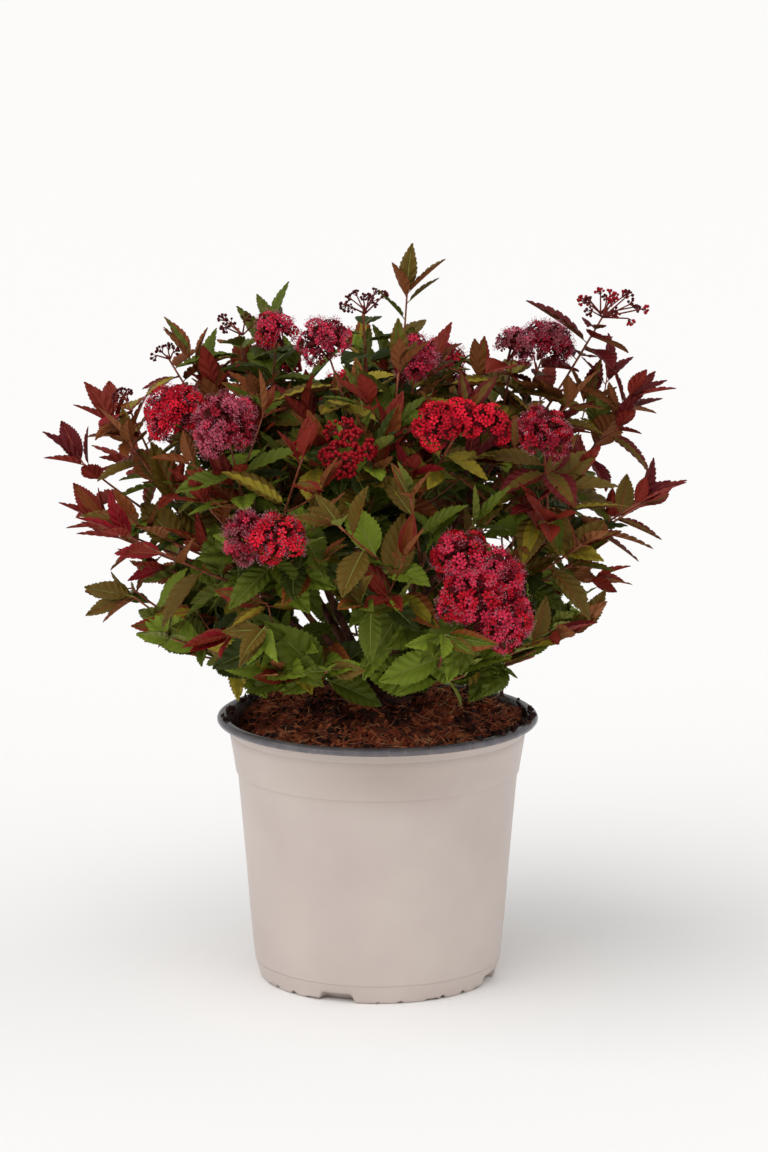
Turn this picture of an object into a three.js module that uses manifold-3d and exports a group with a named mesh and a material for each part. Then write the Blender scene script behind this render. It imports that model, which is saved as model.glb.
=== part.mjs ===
// A flowering spirea shrub in a nursery pot: pot, potting mix, a woody stem base, one tapering bough
// for each mass of foliage, and the masses themselves, each one solid of twigs, leaves and flower heads.
// Millimetres, +Z up, origin at the middle of the pot's flat underside, front of the shrub towards -Y.

import * as THREE from 'three';
import { mergeVertices } from 'three/addons/utils/BufferGeometryUtils.js';
import Module from 'manifold-3d';

const wasm = await Module();
wasm.setup();

// ---------------------------------------------------------------- driving dimensions: pot

const potHeight = 200;
const footRadius = 89;
const wallTopRadius = 104.8; // under the step of the upper band
const bandBottomRadius = 106;
const bandTopRadius = 111;
const bandBottomHeight = 158.5;
const lipRadius = 120;
const lipHeight = 7; // the rolled lip, from its root at the wall to its top
const lipInnerRadius = 111.5;
const lipRoll = [[-2, 1.5], [0, 3.5], [-1.5, 5.8], [-4.5, 7]]; // out from the lip's radius, up from its root
const lipDrop = 0.8; // from the lip's top to its inner edge
const footCorner = 3;
const bandStep = 1.2;
const wallThickness = 2.2;
const floorThickness = 3;
const potFacets = 40;
const footRing = { width: 11, height: 9.5 }; // the thick corner that stands on the ground
const footNotch = { count: 4, firstTurn: 250, width: 26, height: 7, depth: 8 };

// ---------------------------------------------------------------- driving dimensions: potting mix

const mixRimHeight = 196; // where the mix meets the wall
const mixCrownHeight = 208; // flat patch under the stems
const mixPatchRadius = 34;
const mixHollow = { turn: 185, depth: 19, spread: 38, distance: 96 }; // the mix has sunk at the left
const mixRings = 5;
const mixFacets = 20;
const fitGap = 0.3; // between pieces that touch
const mixWallGap = 0.9; // wider, as the mix has flatter facets than the wall
const finestEdge = 0.15; // joined solids keep no finer detail than this
const weldDistance = 1e-4;

// ---------------------------------------------------------------- driving dimensions: limbs

const foot = new THREE.Vector3(0, 0, 205); // all limbs fan out from here
const stemBaseHeight = 15;
const stemBaseRadius = 27;
const stubStart = 10;
const stubEnd = 36; // distance from the foot where stubs end and boughs begin
const stubRadius = 4.2;
const boughRadius = 3.6;
const boughTipRadius = 2.3;
const boughShare = 0.34; // a bough runs to this share of its mass's reach
const leaderShare = 0.64; // and the mass's own stem from there to this share
const baseBend = 15; // degrees by which a limb starts steeper than it ends
const baseBendLength = 105;
const leaderRadius = 3;
const leaderTipRadius = 2.3;
const forks = [0.1, 0.97]; // along that stem, from the first shoot to the last
const shootRadius = 1.25;
const tipRadius = 1;
const bow = { least: 0.03, most: 0.1, place: 0.4, margin: 4 }; // how far and where a shoot bends outward
const boughMesh = { sides: 5, steps: 3 };
const shootMesh = { sides: 3, steps: 2 };
const knuckleMesh = { sides: 12, rows: 8 };
const lobeMesh = { sides: 6, rows: 4 };

// ---------------------------------------------------------------- driving dimensions: crown

const rings = [
  { name: 'low', rise: 21, count: 7, firstTurn: 190 },
  { name: 'mid', rise: 45, count: 7, firstTurn: 181 },
  { name: 'high', rise: 67, count: 4, firstTurn: 182 },
  { name: 'top', rise: 89, count: 1, firstTurn: 0 },
];
const skirtReach = 142; // the crown's reach from the foot at its lowest rise
const crownReach = 318; // and from the shoulder up
const skirtRise = 6;
const shoulderRise = 42;
const lean = 0.04; // the crown reaches further to the left than to the right
const fillerShoots = 84;
const lowestFillerRise = 13;
const rightLift = 16; // degrees more at the right, where the crown starts higher
const steepestRise = 89;
const fillerReach = [0.74, 0.89]; // shares of the crown's reach
const fillerSway = { turn: 6, rise: 3 }; // degrees
const fillerMargin = 5;
const clearTurn = 7.5; // degrees kept free round a head or a stray shoot
const goldenTurn = 137.508;
const seeds = { stems: 300, heads: 540, strays: 700, fillers: 900, scatter: 41 };
const massGap = 0.9; // between neighbouring masses
const leafLength = 52;
const youngLeafLength = 30;
const leafWidthShare = 0.48;
const leafThickness = 1.3;
const leafBellyShare = 0.42; // where a leaf is widest
const leafKeelShare = 0.3; // and where it is thickest
const leafSunk = 0.3; // how far a leaf's root lies behind its twig's axis
const leafFold = 0.3; // how far its sides rise, as a share of its half width
const leafArch = 0.1; // how far its tip drops, as a share of its length
const firstLeaf = 0.24; // along a shoot
const leafSpacing = 16.5;
const leafStep = 2; // every second leaf is made, larger than life
const leafEnlarge = 1.42;
const youngEnlarge = 1.25;
const leafSizes = [0.85, 1.15];
const leafTwist = 18; // degrees either way
const leafDroop = [0.05, 0.3];
const droopEase = 1.3; // low shoots droop by this share, steep ones by less
const leafPitch = { old: 62, young: 30, tip: 8 }; // degrees from the twig
const leafFacing = { outward: 0.6, upward: 0.7, onward: 0.7 }; // what a leaf's upper side turns to
const leafWidening = [1.05, 0.8]; // of an old and a young leaf
const youngFrom = 0.55; // along a shoot, from where its leaves grow younger
const headStalkBare = 0.9; // a flowering shoot has no leaves past this
const fittingSizes = [1, 0.8, 0.6];
const boughClearance = 10;
const rimClearance = 7;
const mixClearance = 9;
const skirtFloor = 232; // no leaf hangs lower than this at the rim
const skirtSlope = 0.45; // and further out the lowest leaves hang higher by this
const rightSkirt = { from: 50, slope: 0.18 }; // at the right they hang higher by this as well

// Flower heads are one or more balls flattened outward. Several balls stand in a zigzag row along
// the head's longer side, from its left end or from its top.
const headTilt = 0.89; // a head faces up at this share of its own rise
const lobeShare = { single: 0.5, several: 0.56 };
const lobeSway = 0.07;
const lobeSpread = 0.5;
const headSquash = 0.82;
const headStalk = 0.2; // a shoot ends this share of a lobe's radius below its middle
const headGap = { leaf: 5, shoot: 3, ownShare: 0.4 };
const leafCheckedFrom = 0.35; // along a leaf, to its tip: this part keeps clear of heads

// The direction and distance from the foot, the size seen from outside, and the lobes of each head.
const flowerHeads = [
  { turn: 206, rise: 55, reach: 284, wide: 49, tall: 52, lobes: 1 },
  { turn: 228, rise: 55, reach: 282, wide: 46, tall: 45, lobes: 1 },
  { turn: 195, rise: 75, reach: 295, wide: 36, tall: 30, lobes: 1 },
  { turn: 238, rise: 76, reach: 292, wide: 46, tall: 40, lobes: 1 },
  { turn: 303, rise: 79, reach: 273, wide: 50, tall: 30, lobes: 2 },
  { turn: 296, rise: 60, reach: 270, wide: 75, tall: 40, lobes: 3 },
  { turn: 350, rise: 69.5, reach: 292, wide: 38, tall: 34, lobes: 1 },
  { turn: 317, rise: 54, reach: 277, wide: 45, tall: 38, lobes: 1 },
  { turn: 262, rise: 57, reach: 261, wide: 40, tall: 52, lobes: 3 },
  { turn: 244, rise: 41, reach: 242, wide: 64, tall: 44, lobes: 2 },
  { turn: 293, rise: 33, reach: 227, wide: 66, tall: 92, lobes: 4 },
  { turn: 7, rise: 60, reach: 345, wide: 48, tall: 22, lobes: 2 },
  { turn: 180, rise: 88, reach: 304, wide: 40, tall: 18, lobes: 2 },
  { turn: 174, rise: 70, reach: 304, wide: 30, tall: 18, lobes: 1 },
  { turn: 244, rise: 60, reach: 246, wide: 18, tall: 15, lobes: 1 },
  { turn: 181, rise: 51.5, reach: 300, wide: 15, tall: 12, lobes: 1 },
  { turn: 178, rise: 59.5, reach: 308, wide: 16, tall: 12, lobes: 1 },
  { turn: 2, rise: 65.3, reach: 301, wide: 39, tall: 36, lobes: 1 },
];
const backHeads = {
  count: 9,
  firstTurn: 52,
  turnStep: 9.5,
  rises: [34, 48, 62],
  reach: 270,
  reachStep: 9,
  wide: 40,
  wideStep: 7,
  tall: 36,
  tallStep: 4,
};

// Shoots that stand out of the crown's outline.
const strayShoots = [
  { turn: 184.6, rise: 35, reach: 246 },
  { turn: 182.3, rise: 40.5, reach: 286 },
  { turn: 174.8, rise: 47, reach: 290 },
  { turn: 176, rise: 62, reach: 295 },
  { turn: 0, rise: 86, reach: 311 },
  { turn: 357, rise: 38.5, reach: 250 },
  { turn: 5.6, rise: 51, reach: 296 },
  { turn: 188, rise: 26, reach: 202 },
  { turn: 341, rise: 23.5, reach: 168 },
];

// ---------------------------------------------------------------- small helpers

const up = new THREE.Vector3(0, 0, 1);
const radians = THREE.MathUtils.degToRad;
const clamp01 = (x) => THREE.MathUtils.clamp(x, 0, 1);
const mix = (a, b, t) => a + (b - a) * t;

function ease(x) {
  const t = clamp01(x);
  return t * t * (3 - 2 * t);
}

function direction(turn, rise) {
  const flat = Math.cos(radians(rise));
  return new THREE.Vector3(
    flat * Math.cos(radians(turn)),
    flat * Math.sin(radians(turn)),
    Math.sin(radians(rise)),
  );
}

function fromFoot(turn, rise, distance) {
  return direction(turn, rise).multiplyScalar(distance).add(foot);
}

// A seeded stream of even numbers from 0 to 1.
function stream(seed) {
  let state = seed >>> 0;
  return () => {
    state = (Math.imul(state, 1664525) + 1013904223) >>> 0;
    return state / 4294967296;
  };
}

// ---------------------------------------------------------------- solids

// A geometry whose faces share their corners, with the faces that have no area left out.
function weld(geometry) {
  geometry.deleteAttribute('normal');
  geometry.deleteAttribute('uv');
  const welded = mergeVertices(geometry, weldDistance);
  const shared = welded.index.array;
  const kept = [];
  for (let i = 0; i < shared.length; i += 3) {
    const [a, b, c] = shared.slice(i, i + 3);
    if (a !== b && b !== c && c !== a) kept.push(a, b, c);
  }
  welded.setIndex(kept);
  return welded;
}

function toSolid(geometry) {
  const mesh = new wasm.Mesh({
    numProp: 3,
    vertProperties: new Float32Array(geometry.attributes.position.array),
    triVerts: new Uint32Array(geometry.index.array),
  });
  return new wasm.Manifold(mesh);
}

function toGeometry(solid) {
  const mesh = solid.getMesh();
  const geometry = new THREE.BufferGeometry();
  geometry.setAttribute('position', new THREE.BufferAttribute(mesh.vertProperties, 3));
  geometry.setIndex(new THREE.BufferAttribute(mesh.triVerts, 1));
  geometry.computeVertexNormals();
  return geometry;
}

// Joins solids and keeps the main body, so a loose scrap or a sealed pocket is left out.
function join(solids) {
  const bodies = wasm.Manifold.union(solids).decompose();
  const main = bodies.reduce((best, body) => (body.volume() > best.volume() ? body : best));
  return main.simplify(finestEdge);
}

// Moves every point of a geometry by a function of its place.
function reshape(geometry, place) {
  const positions = geometry.attributes.position;
  const point = new THREE.Vector3();
  for (let i = 0; i < positions.count; i += 1) {
    point.fromBufferAttribute(positions, i);
    place(point);
    positions.setXYZ(i, point.x, point.y, point.z);
  }
  return geometry;
}

// Two directions square to the one given, steady for nearby directions.
function squareTo(along) {
  const guide = Math.abs(along.z) > 0.9 ? new THREE.Vector3(1, 0, 0) : up;
  const side = new THREE.Vector3().crossVectors(guide, along).normalize();
  const over = new THREE.Vector3().crossVectors(along, side);
  return { side, over };
}

// A tapering limb: a cylinder whose rings are carried along a path.
function limb(path, startRadius, endRadius, sides, steps) {
  const tube = weld(new THREE.CylinderGeometry(1, 1, 1, sides, steps));
  return reshape(tube, (point) => {
    const t = point.y + 0.5;
    const at = path(t);
    const { side, over } = squareTo(heading(path, t));
    const radius = mix(startRadius, endRadius, t);
    const across = side.multiplyScalar(point.z * radius);
    const upward = over.multiplyScalar(point.x * radius);
    point.copy(at).add(across).add(upward);
  });
}

function heading(path, t) {
  const step = 0.02;
  const before = path(Math.max(0, t - step));
  return path(Math.min(1, t + step)).sub(before).normalize();
}

// ---------------------------------------------------------------- pot

const lipRoot = potHeight - lipHeight;

function wallInside(height) {
  if (height > bandBottomHeight) {
    const t = (height - bandBottomHeight) / (lipRoot - bandBottomHeight);
    return mix(bandBottomRadius, bandTopRadius, clamp01(t)) - wallThickness;
  }
  const t = (height - floorThickness) / (bandBottomHeight - floorThickness);
  return mix(footRadius, wallTopRadius, t) - wallThickness;
}

function potGeometry() {
  const outline = [
    [0, 0],
    [footRadius - footCorner, 0],
    [footRadius, footCorner],
    [wallTopRadius, bandBottomHeight - bandStep],
    [bandBottomRadius, bandBottomHeight],
    [bandTopRadius, lipRoot],
    ...lipRoll.map(([out, rise]) => [lipRadius + out, lipRoot + rise]),
    [lipInnerRadius, potHeight - lipDrop],
    [bandTopRadius - wallThickness, lipRoot],
    [bandBottomRadius - wallThickness, bandBottomHeight],
    [wallTopRadius - wallThickness, bandBottomHeight - bandStep],
    [wallInside(footRing.height), footRing.height],
    [footRadius - footRing.width, footRing.height],
    [footRadius - footRing.width, floorThickness],
    [0, floorThickness],
  ].map(([x, y]) => new THREE.Vector2(x, y));
  return weld(new THREE.LatheGeometry(outline, potFacets)).rotateX(Math.PI / 2);
}

function makePot() {
  let pot = toSolid(potGeometry());
  const notchDepth = footNotch.depth;
  const bar = weld(new THREE.BoxGeometry(notchDepth * 2, footNotch.width, footNotch.height * 2));
  bar.translate(footRadius, 0, 0);
  for (let k = 0; k < footNotch.count; k += 1) {
    const turn = footNotch.firstTurn + (360 * k) / footNotch.count;
    pot = pot.subtract(toSolid(bar.clone().rotateZ(radians(turn))));
  }
  return pot;
}

// ---------------------------------------------------------------- potting mix

function mixHeight(x, y) {
  const radius = Math.hypot(x, y);
  const fall = ease((radius - mixPatchRadius) / (wallInside(mixRimHeight) - mixPatchRadius));
  const hollow = direction(mixHollow.turn, 0).multiplyScalar(mixHollow.distance);
  const away = Math.hypot(x - hollow.x, y - hollow.y) / mixHollow.spread;
  const sink = radius > mixPatchRadius ? mixHollow.depth * Math.exp(-away * away) : 0;
  return mix(mixCrownHeight, mixRimHeight, fall) - sink;
}

function makeMix() {
  const top = wallInside(mixRimHeight) - mixWallGap;
  const ringInside = footRadius - footRing.width - mixWallGap;
  const outline = [
    [0, floorThickness + fitGap],
    [ringInside, floorThickness + fitGap],
    [ringInside, footRing.height + fitGap],
    [wallInside(footRing.height) - mixWallGap, footRing.height + fitGap],
    [wallInside(bandBottomHeight) - mixWallGap - bandStep, bandBottomHeight],
    [top, mixRimHeight],
  ];
  for (let k = 1; k < mixRings; k += 1) {
    outline.push([mix(top, mixPatchRadius, k / (mixRings - 1)), mixRimHeight]);
  }
  outline.push([0, mixRimHeight]);
  const points = outline.map(([x, y]) => new THREE.Vector2(x, y));
  const body = weld(new THREE.LatheGeometry(points, mixFacets)).rotateX(Math.PI / 2);
  reshape(body, (point) => {
    if (point.z < mixRimHeight - weldDistance) return;
    point.z = mixHeight(point.x, point.y);
    const widest = wallInside(point.z) - mixWallGap;
    const radius = Math.hypot(point.x, point.y);
    const inward = Math.min(1, widest / Math.max(radius, 1));
    point.x *= inward;
    point.y *= inward;
  });
  return toSolid(body);
}

// ---------------------------------------------------------------- limbs

const masses = [];
for (const ring of rings) {
  for (let k = 0; k < ring.count; k += 1) {
    const turn = ring.firstTurn + (360 * k) / ring.count;
    const name = ring.count > 1 ? `${ring.name}_${k + 1}` : ring.name;
    masses.push({ name, turn, rise: ring.rise, axis: direction(turn, ring.rise), shoots: [] });
  }
}

function reachAt(turn, rise) {
  const shoulder = ease((rise - skirtRise) / (shoulderRise - skirtRise));
  const sway = 1 - lean * Math.cos(radians(turn)) * Math.cos(radians(rise));
  return mix(skirtReach, crownReach, shoulder) * sway;
}

// A limb starts steeper than it goes on: its place at a distance from the foot.
function stemPoint(mass, distance) {
  const bend = baseBend * Math.max(0, 1 - distance / baseBendLength) ** 2;
  return fromFoot(mass.turn, mass.rise + bend * Math.cos(radians(mass.rise)), distance);
}

// The stem inside a mass, which carries on from the bough's tip.
function stemCurve(mass) {
  const start = stemPoint(mass, mass.boughEnd + fitGap);
  const middle = stemPoint(mass, mass.reach * (boughShare + leaderShare) * 0.5);
  const end = stemPoint(mass, mass.reach * leaderShare);
  const bend = middle.multiplyScalar(2).addScaledVector(start, -0.5).addScaledVector(end, -0.5);
  return new THREE.QuadraticBezierCurve3(start, bend, end);
}

masses.forEach((mass, k) => {
  mass.reach = reachAt(mass.turn, mass.rise);
  mass.boughEnd = mass.reach * boughShare;
  const curve = stemCurve(mass);
  const draw = stream(seeds.stems + k);
  mass.stem = { curve, span: curve.getLength(), draw, rise: mass.rise, isStem: true };
});

function makeBough(mass) {
  const path = (t) => stemPoint(mass, mix(stubEnd + fitGap, mass.boughEnd, t));
  return toSolid(limb(path, boughRadius, boughTipRadius, boughMesh.sides, boughMesh.steps));
}

function makeStemBase() {
  const ball = new THREE.SphereGeometry(1, knuckleMesh.sides, knuckleMesh.rows);
  const knuckle = weld(ball).rotateX(Math.PI / 2);
  const floor = mixCrownHeight + fitGap;
  reshape(knuckle, (point) => {
    const lowest = Math.max(point.z, 0);
    point.set(point.x * stemBaseRadius, point.y * stemBaseRadius, floor + lowest * stemBaseHeight);
  });
  const parts = [toSolid(knuckle)];
  for (const mass of masses) {
    const path = (t) => stemPoint(mass, mix(stubStart, stubEnd, t));
    parts.push(toSolid(limb(path, stubRadius, boughRadius, boughMesh.sides, 1)));
  }
  const block = 2 * stubEnd;
  const below = weld(new THREE.BoxGeometry(2 * block, 2 * block, block)).translate(0, 0, floor - block / 2);
  return join(parts).subtract(toSolid(below));
}

// ---------------------------------------------------------------- room for each mass

// A mass owns the directions nearest to its own: a convex cone with its tip at the foot.
function ownerOf(point) {
  const away = point.clone().sub(foot);
  return masses.reduce((best, mass) => (away.dot(mass.axis) > away.dot(best.axis) ? mass : best));
}

function insideRoom(point, mass, margin) {
  const away = point.clone().sub(foot);
  return masses.every((other) => {
    if (other === mass) return true;
    const between = mass.axis.clone().sub(other.axis);
    return away.dot(between) > margin * between.length();
  });
}

function aboveMix(point) {
  const beyondRim = Math.hypot(point.x, point.y) - lipRadius - rimClearance;
  const lowest = beyondRim > 0 ? skirtFloor + skirtSlope * beyondRim : mixCrownHeight + mixClearance;
  return point.z > lowest + rightSkirt.slope * Math.max(0, point.x - rightSkirt.from);
}

function distanceToSegment(point, start, end) {
  const line = new THREE.Line3(start, end);
  return line.closestPointToPoint(point, true, new THREE.Vector3()).distanceTo(point);
}

// ---------------------------------------------------------------- flower heads

function headLobes(head) {
  const middle = fromFoot(head.turn, head.rise, head.reach);
  const facing = direction(head.turn, head.rise * headTilt);
  const { side, over } = squareTo(facing);
  const share = head.lobes > 1 ? lobeShare.several : lobeShare.single;
  const even = Math.sqrt((head.wide * head.tall) / head.lobes) * share;
  const isWide = head.wide > head.tall;
  return Array.from({ length: head.lobes }, (_, k) => {
    const radius = even * (1 + lobeSway * Math.sin(5 * k + head.turn));
    const onward = head.lobes > 1 ? (2 * k) / (head.lobes - 1) - 1 : 0;
    const aside = head.lobes > 2 ? 2 * (k % 2) - 1 : 0;
    const across = (isWide ? onward : aside) * Math.max(0, head.wide / 2 - radius);
    const high = (isWide ? aside : -onward) * Math.max(0, head.tall / 2 - radius);
    const away = side.clone().multiplyScalar(across).addScaledVector(over, high);
    const place = middle.clone().add(away);
    const tilted = facing.clone().addScaledVector(away, lobeSpread / radius).normalize();
    return { place, radius, facing: tilted };
  });
}

const heads = flowerHeads.concat(
  Array.from({ length: backHeads.count }, (_, k) => ({
    turn: backHeads.firstTurn + backHeads.turnStep * k,
    rise: backHeads.rises[k % backHeads.rises.length],
    reach: backHeads.reach - backHeads.reachStep * (k % 3) * (k % 2),
    wide: backHeads.wide + backHeads.wideStep * (k % 4),
    tall: backHeads.tall + backHeads.tallStep * (k % 3),
    lobes: 1 + (k % 2),
  })),
);
for (const head of heads) {
  head.lobeList = headLobes(head);
  head.middle = fromFoot(head.turn, head.rise, head.reach);
  head.mass = ownerOf(head.middle);
}

function clearOfHeads(start, end, mass, gap) {
  return heads.every((head) => {
    const room = head.mass === mass ? gap * headGap.ownShare : gap;
    return head.lobeList.every((lobe) => distanceToSegment(lobe.place, start, end) > lobe.radius + room);
  });
}

// ---------------------------------------------------------------- shoots

// A shoot is noted with its mass first, and grows once all shoots of the mass are known.
function addShoot(spec, seed, head) {
  const end = fromFoot(spec.turn, spec.rise, spec.reach);
  ownerOf(end).shoots.push({ end, rise: spec.rise, head, draw: stream(seed) });
}

// Shoots fork off along the mass's own stem, the lowest ones first, and bow outward.
function growShoots(mass) {
  mass.shoots.sort((a, b) => a.rise - b.rise);
  mass.shoots.forEach((shoot, k) => {
    shoot.phase = shoot.draw() * 360;
    const start = mass.stem.curve.getPoint(mix(...forks, (k + 0.5) / mass.shoots.length));
    const away = mix(bow.least, bow.most, shoot.draw());
    const outward = new THREE.Vector3(shoot.end.x, shoot.end.y, 0).normalize();
    shoot.span = shoot.end.distanceTo(start);
    const bend = start.clone().lerp(shoot.end, bow.place).addScaledVector(outward, shoot.span * away);
    if (!insideRoom(bend, mass, bow.margin)) bend.copy(start).lerp(shoot.end, 0.5);
    shoot.curve = new THREE.QuadraticBezierCurve3(start, bend, shoot.end);
  });
}

// ---------------------------------------------------------------- leaves

// Five corners, as root and tip are the poles, and left, right and the keel below lie between them.
const leafBlank = weld(new THREE.SphereGeometry(1, 3, 2));

// The frame of one leaf: its root, the way it points, its width and its upper side.
function leafFrame(shoot, t, turn, pitch, droop) {
  const root = shoot.curve.getPoint(t);
  const along = shoot.curve.getTangent(t);
  const { side, over } = squareTo(along);
  const angle = radians(turn);
  const radial = side.multiplyScalar(Math.cos(angle)).addScaledVector(over, Math.sin(angle));
  const point = along.clone().multiplyScalar(Math.cos(radians(pitch)));
  point.addScaledVector(radial, Math.sin(radians(pitch))).addScaledVector(up, -droop).normalize();
  const upper = root.clone().sub(foot).normalize().multiplyScalar(leafFacing.outward);
  upper.addScaledVector(up, leafFacing.upward).addScaledVector(along, leafFacing.onward);
  upper.addScaledVector(point, -upper.dot(point)).normalize();
  const width = new THREE.Vector3().crossVectors(upper, point);
  return { root, point, width, upper };
}

function leafGeometry(frame, length, widthShare) {
  const half = (length * widthShare) / 2;
  return reshape(leafBlank.clone(), (vertex) => {
    const sideways = Math.sign(Math.round(vertex.z));
    let along = length * (sideways === 0 ? leafKeelShare : leafBellyShare);
    let lift = sideways === 0 ? -leafThickness : half * leafFold;
    if (vertex.y > 0.5) {
      along = length;
      lift = -length * leafArch;
    } else if (vertex.y < -0.5) {
      along = -leafSunk;
      lift = 0;
    }
    vertex.copy(frame.root).addScaledVector(frame.point, along);
    vertex.addScaledVector(frame.width, half * sideways).addScaledVector(frame.upper, lift);
  });
}

function corners(geometry) {
  const positions = geometry.attributes.position;
  const corner = (_, i) => new THREE.Vector3().fromBufferAttribute(positions, i);
  return Array.from({ length: positions.count }, corner);
}

// A leaf that would leave its mass's room is tried smaller, and then left out.
function fittingLeaf(mass, frame, length, widthShare) {
  for (const size of fittingSizes) {
    const leaf = leafGeometry(frame, length * size, widthShare);
    const tip = frame.root.clone().addScaledVector(frame.point, length * size);
    const fits = corners(leaf).every((corner) => insideRoom(corner, mass, massGap / 2) && aboveMix(corner));
    const clearOfBough = distanceToSegment(tip, foot, stemPoint(mass, mass.boughEnd)) > boughClearance;
    const start = frame.root.clone().lerp(tip, leafCheckedFrom);
    if (fits && clearOfBough && clearOfHeads(start, tip, mass, headGap.leaf)) return toSolid(leaf);
  }
  return null;
}

function leavesOf(mass, shoot) {
  const lastLeaf = shoot.head ? headStalkBare : 1;
  const count = Math.floor((shoot.span * (lastLeaf - firstLeaf)) / leafSpacing);
  const made = [];
  for (let k = 0; k <= count; k += 1) {
    const t = mix(firstLeaf, lastLeaf, k / Math.max(count, 1));
    const size = mix(...leafSizes, shoot.draw());
    const twist = mix(-leafTwist, leafTwist, shoot.draw());
    const droop = mix(...leafDroop, shoot.draw()) * (droopEase - shoot.rise / 90);
    if (k % leafStep === 0 || k === count) {
      const young = shoot.isStem ? 0 : ease((t - youngFrom) / (1 - youngFrom));
      const length = mix(leafLength * leafEnlarge, youngLeafLength * youngEnlarge, young) * size;
      const pitch = mix(leafPitch.old, leafPitch.young, young);
      const frame = leafFrame(shoot, t, shoot.phase + goldenTurn * k + twist, pitch, droop * (1 - young));
      made.push(fittingLeaf(mass, frame, length, leafWidthShare * mix(...leafWidening, young)));
    }
  }
  if (!shoot.head && !shoot.isStem) {
    const frame = leafFrame(shoot, 1, shoot.phase, leafPitch.tip, 0);
    made.push(fittingLeaf(mass, frame, youngLeafLength, leafWidthShare * leafWidening[1]));
  }
  return made.filter(Boolean);
}

// ---------------------------------------------------------------- the crown's shoots

heads.forEach((head, k) => {
  const below = head.lobeList[0].radius * headStalk;
  addShoot({ turn: head.turn, rise: head.rise, reach: head.reach - below }, seeds.heads + k, head);
});
strayShoots.forEach((stray, k) => addShoot(stray, seeds.strays + k, null));

function nearNamed(turn, rise) {
  const way = direction(turn, rise);
  const named = heads.concat(strayShoots);
  return named.some((other) => way.angleTo(direction(other.turn, other.rise)) < radians(clearTurn));
}

const scatter = stream(seeds.scatter);
for (let k = 0; k < fillerShoots; k += 1) {
  const lowest = Math.sin(radians(lowestFillerRise));
  const evenRise = THREE.MathUtils.radToDeg(Math.asin(mix(lowest, 1, (k + 0.5) / fillerShoots)));
  const turn = (goldenTurn * k + mix(-fillerSway.turn, fillerSway.turn, scatter())) % 360;
  const swayed = Math.min(steepestRise, evenRise + mix(-fillerSway.rise, fillerSway.rise, scatter()));
  const reach = reachAt(turn, swayed) * mix(...fillerReach, scatter());
  const rise = Math.max(swayed, lowestFillerRise + rightLift * Math.cos(radians(turn)));
  const end = fromFoot(turn, rise, reach);
  const roomy = insideRoom(end, ownerOf(end), fillerMargin);
  if (roomy && !nearNamed(turn, rise)) addShoot({ turn, rise, reach }, seeds.fillers + k, null);
}

const lobeBlank = weld(new THREE.SphereGeometry(1, lobeMesh.sides, lobeMesh.rows));

function makeHead(head) {
  return head.lobeList.map((lobe) => {
    const ball = lobeBlank.clone().scale(lobe.radius, lobe.radius, lobe.radius * headSquash);
    ball.applyQuaternion(new THREE.Quaternion().setFromUnitVectors(up, lobe.facing));
    return toSolid(ball.translate(lobe.place.x, lobe.place.y, lobe.place.z));
  });
}

function makeFoliage(mass) {
  growShoots(mass);
  const stem = (t) => mass.stem.curve.getPoint(t);
  const { sides, steps } = shootMesh;
  const parts = [toSolid(limb(stem, leaderRadius, leaderTipRadius, sides, steps))];
  mass.stem.phase = mass.stem.draw() * 360;
  parts.push(...leavesOf(mass, mass.stem));
  for (const shoot of mass.shoots) {
    const path = (t) => shoot.curve.getPoint(t);
    const places = [0.25, 0.5, 0.75, 1].map(path);
    const clear = places.slice(1).every((end, k) => clearOfHeads(places[k], end, mass, headGap.shoot));
    if (!clear && !shoot.head) continue;
    parts.push(toSolid(limb(path, shootRadius, tipRadius, sides, steps)));
    parts.push(...leavesOf(mass, shoot));
    if (shoot.head) parts.push(...makeHead(shoot.head));
  }
  return join(parts);
}

// ---------------------------------------------------------------- the group

const finishes = {
  pot: new THREE.MeshStandardMaterial({ color: '#d3cbc8', roughness: 0.55, metalness: 0 }),
  mix: new THREE.MeshStandardMaterial({ color: '#3b221a', roughness: 0.95, metalness: 0 }),
  bark: new THREE.MeshStandardMaterial({ color: '#4a2c22', roughness: 0.85, metalness: 0 }),
  green: new THREE.MeshStandardMaterial({ color: '#47591f', roughness: 0.6, metalness: 0 }),
  bronze: new THREE.MeshStandardMaterial({ color: '#6b2a1f', roughness: 0.6, metalness: 0 }),
};

const shrub = new THREE.Group();

function addPiece(name, solid, finish) {
  const piece = new THREE.Mesh(toGeometry(solid), finish);
  piece.name = name;
  shrub.add(piece);
}

addPiece('pot', makePot(), finishes.pot);
addPiece('soil', makeMix(), finishes.mix);
addPiece('stem_base', makeStemBase(), finishes.bark);
for (const mass of masses) {
  addPiece(`bough_${mass.name}`, makeBough(mass), finishes.bark);
  addPiece(`foliage_${mass.name}`, makeFoliage(mass), mass.rise > 30 ? finishes.bronze : finishes.green);
}

export default shrub;
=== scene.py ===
import bpy
import numpy as np
from math import asin, atan2, cos, degrees, exp, hypot, pi, radians, sin, sqrt
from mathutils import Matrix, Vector, noise
from types import SimpleNamespace as record

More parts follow.
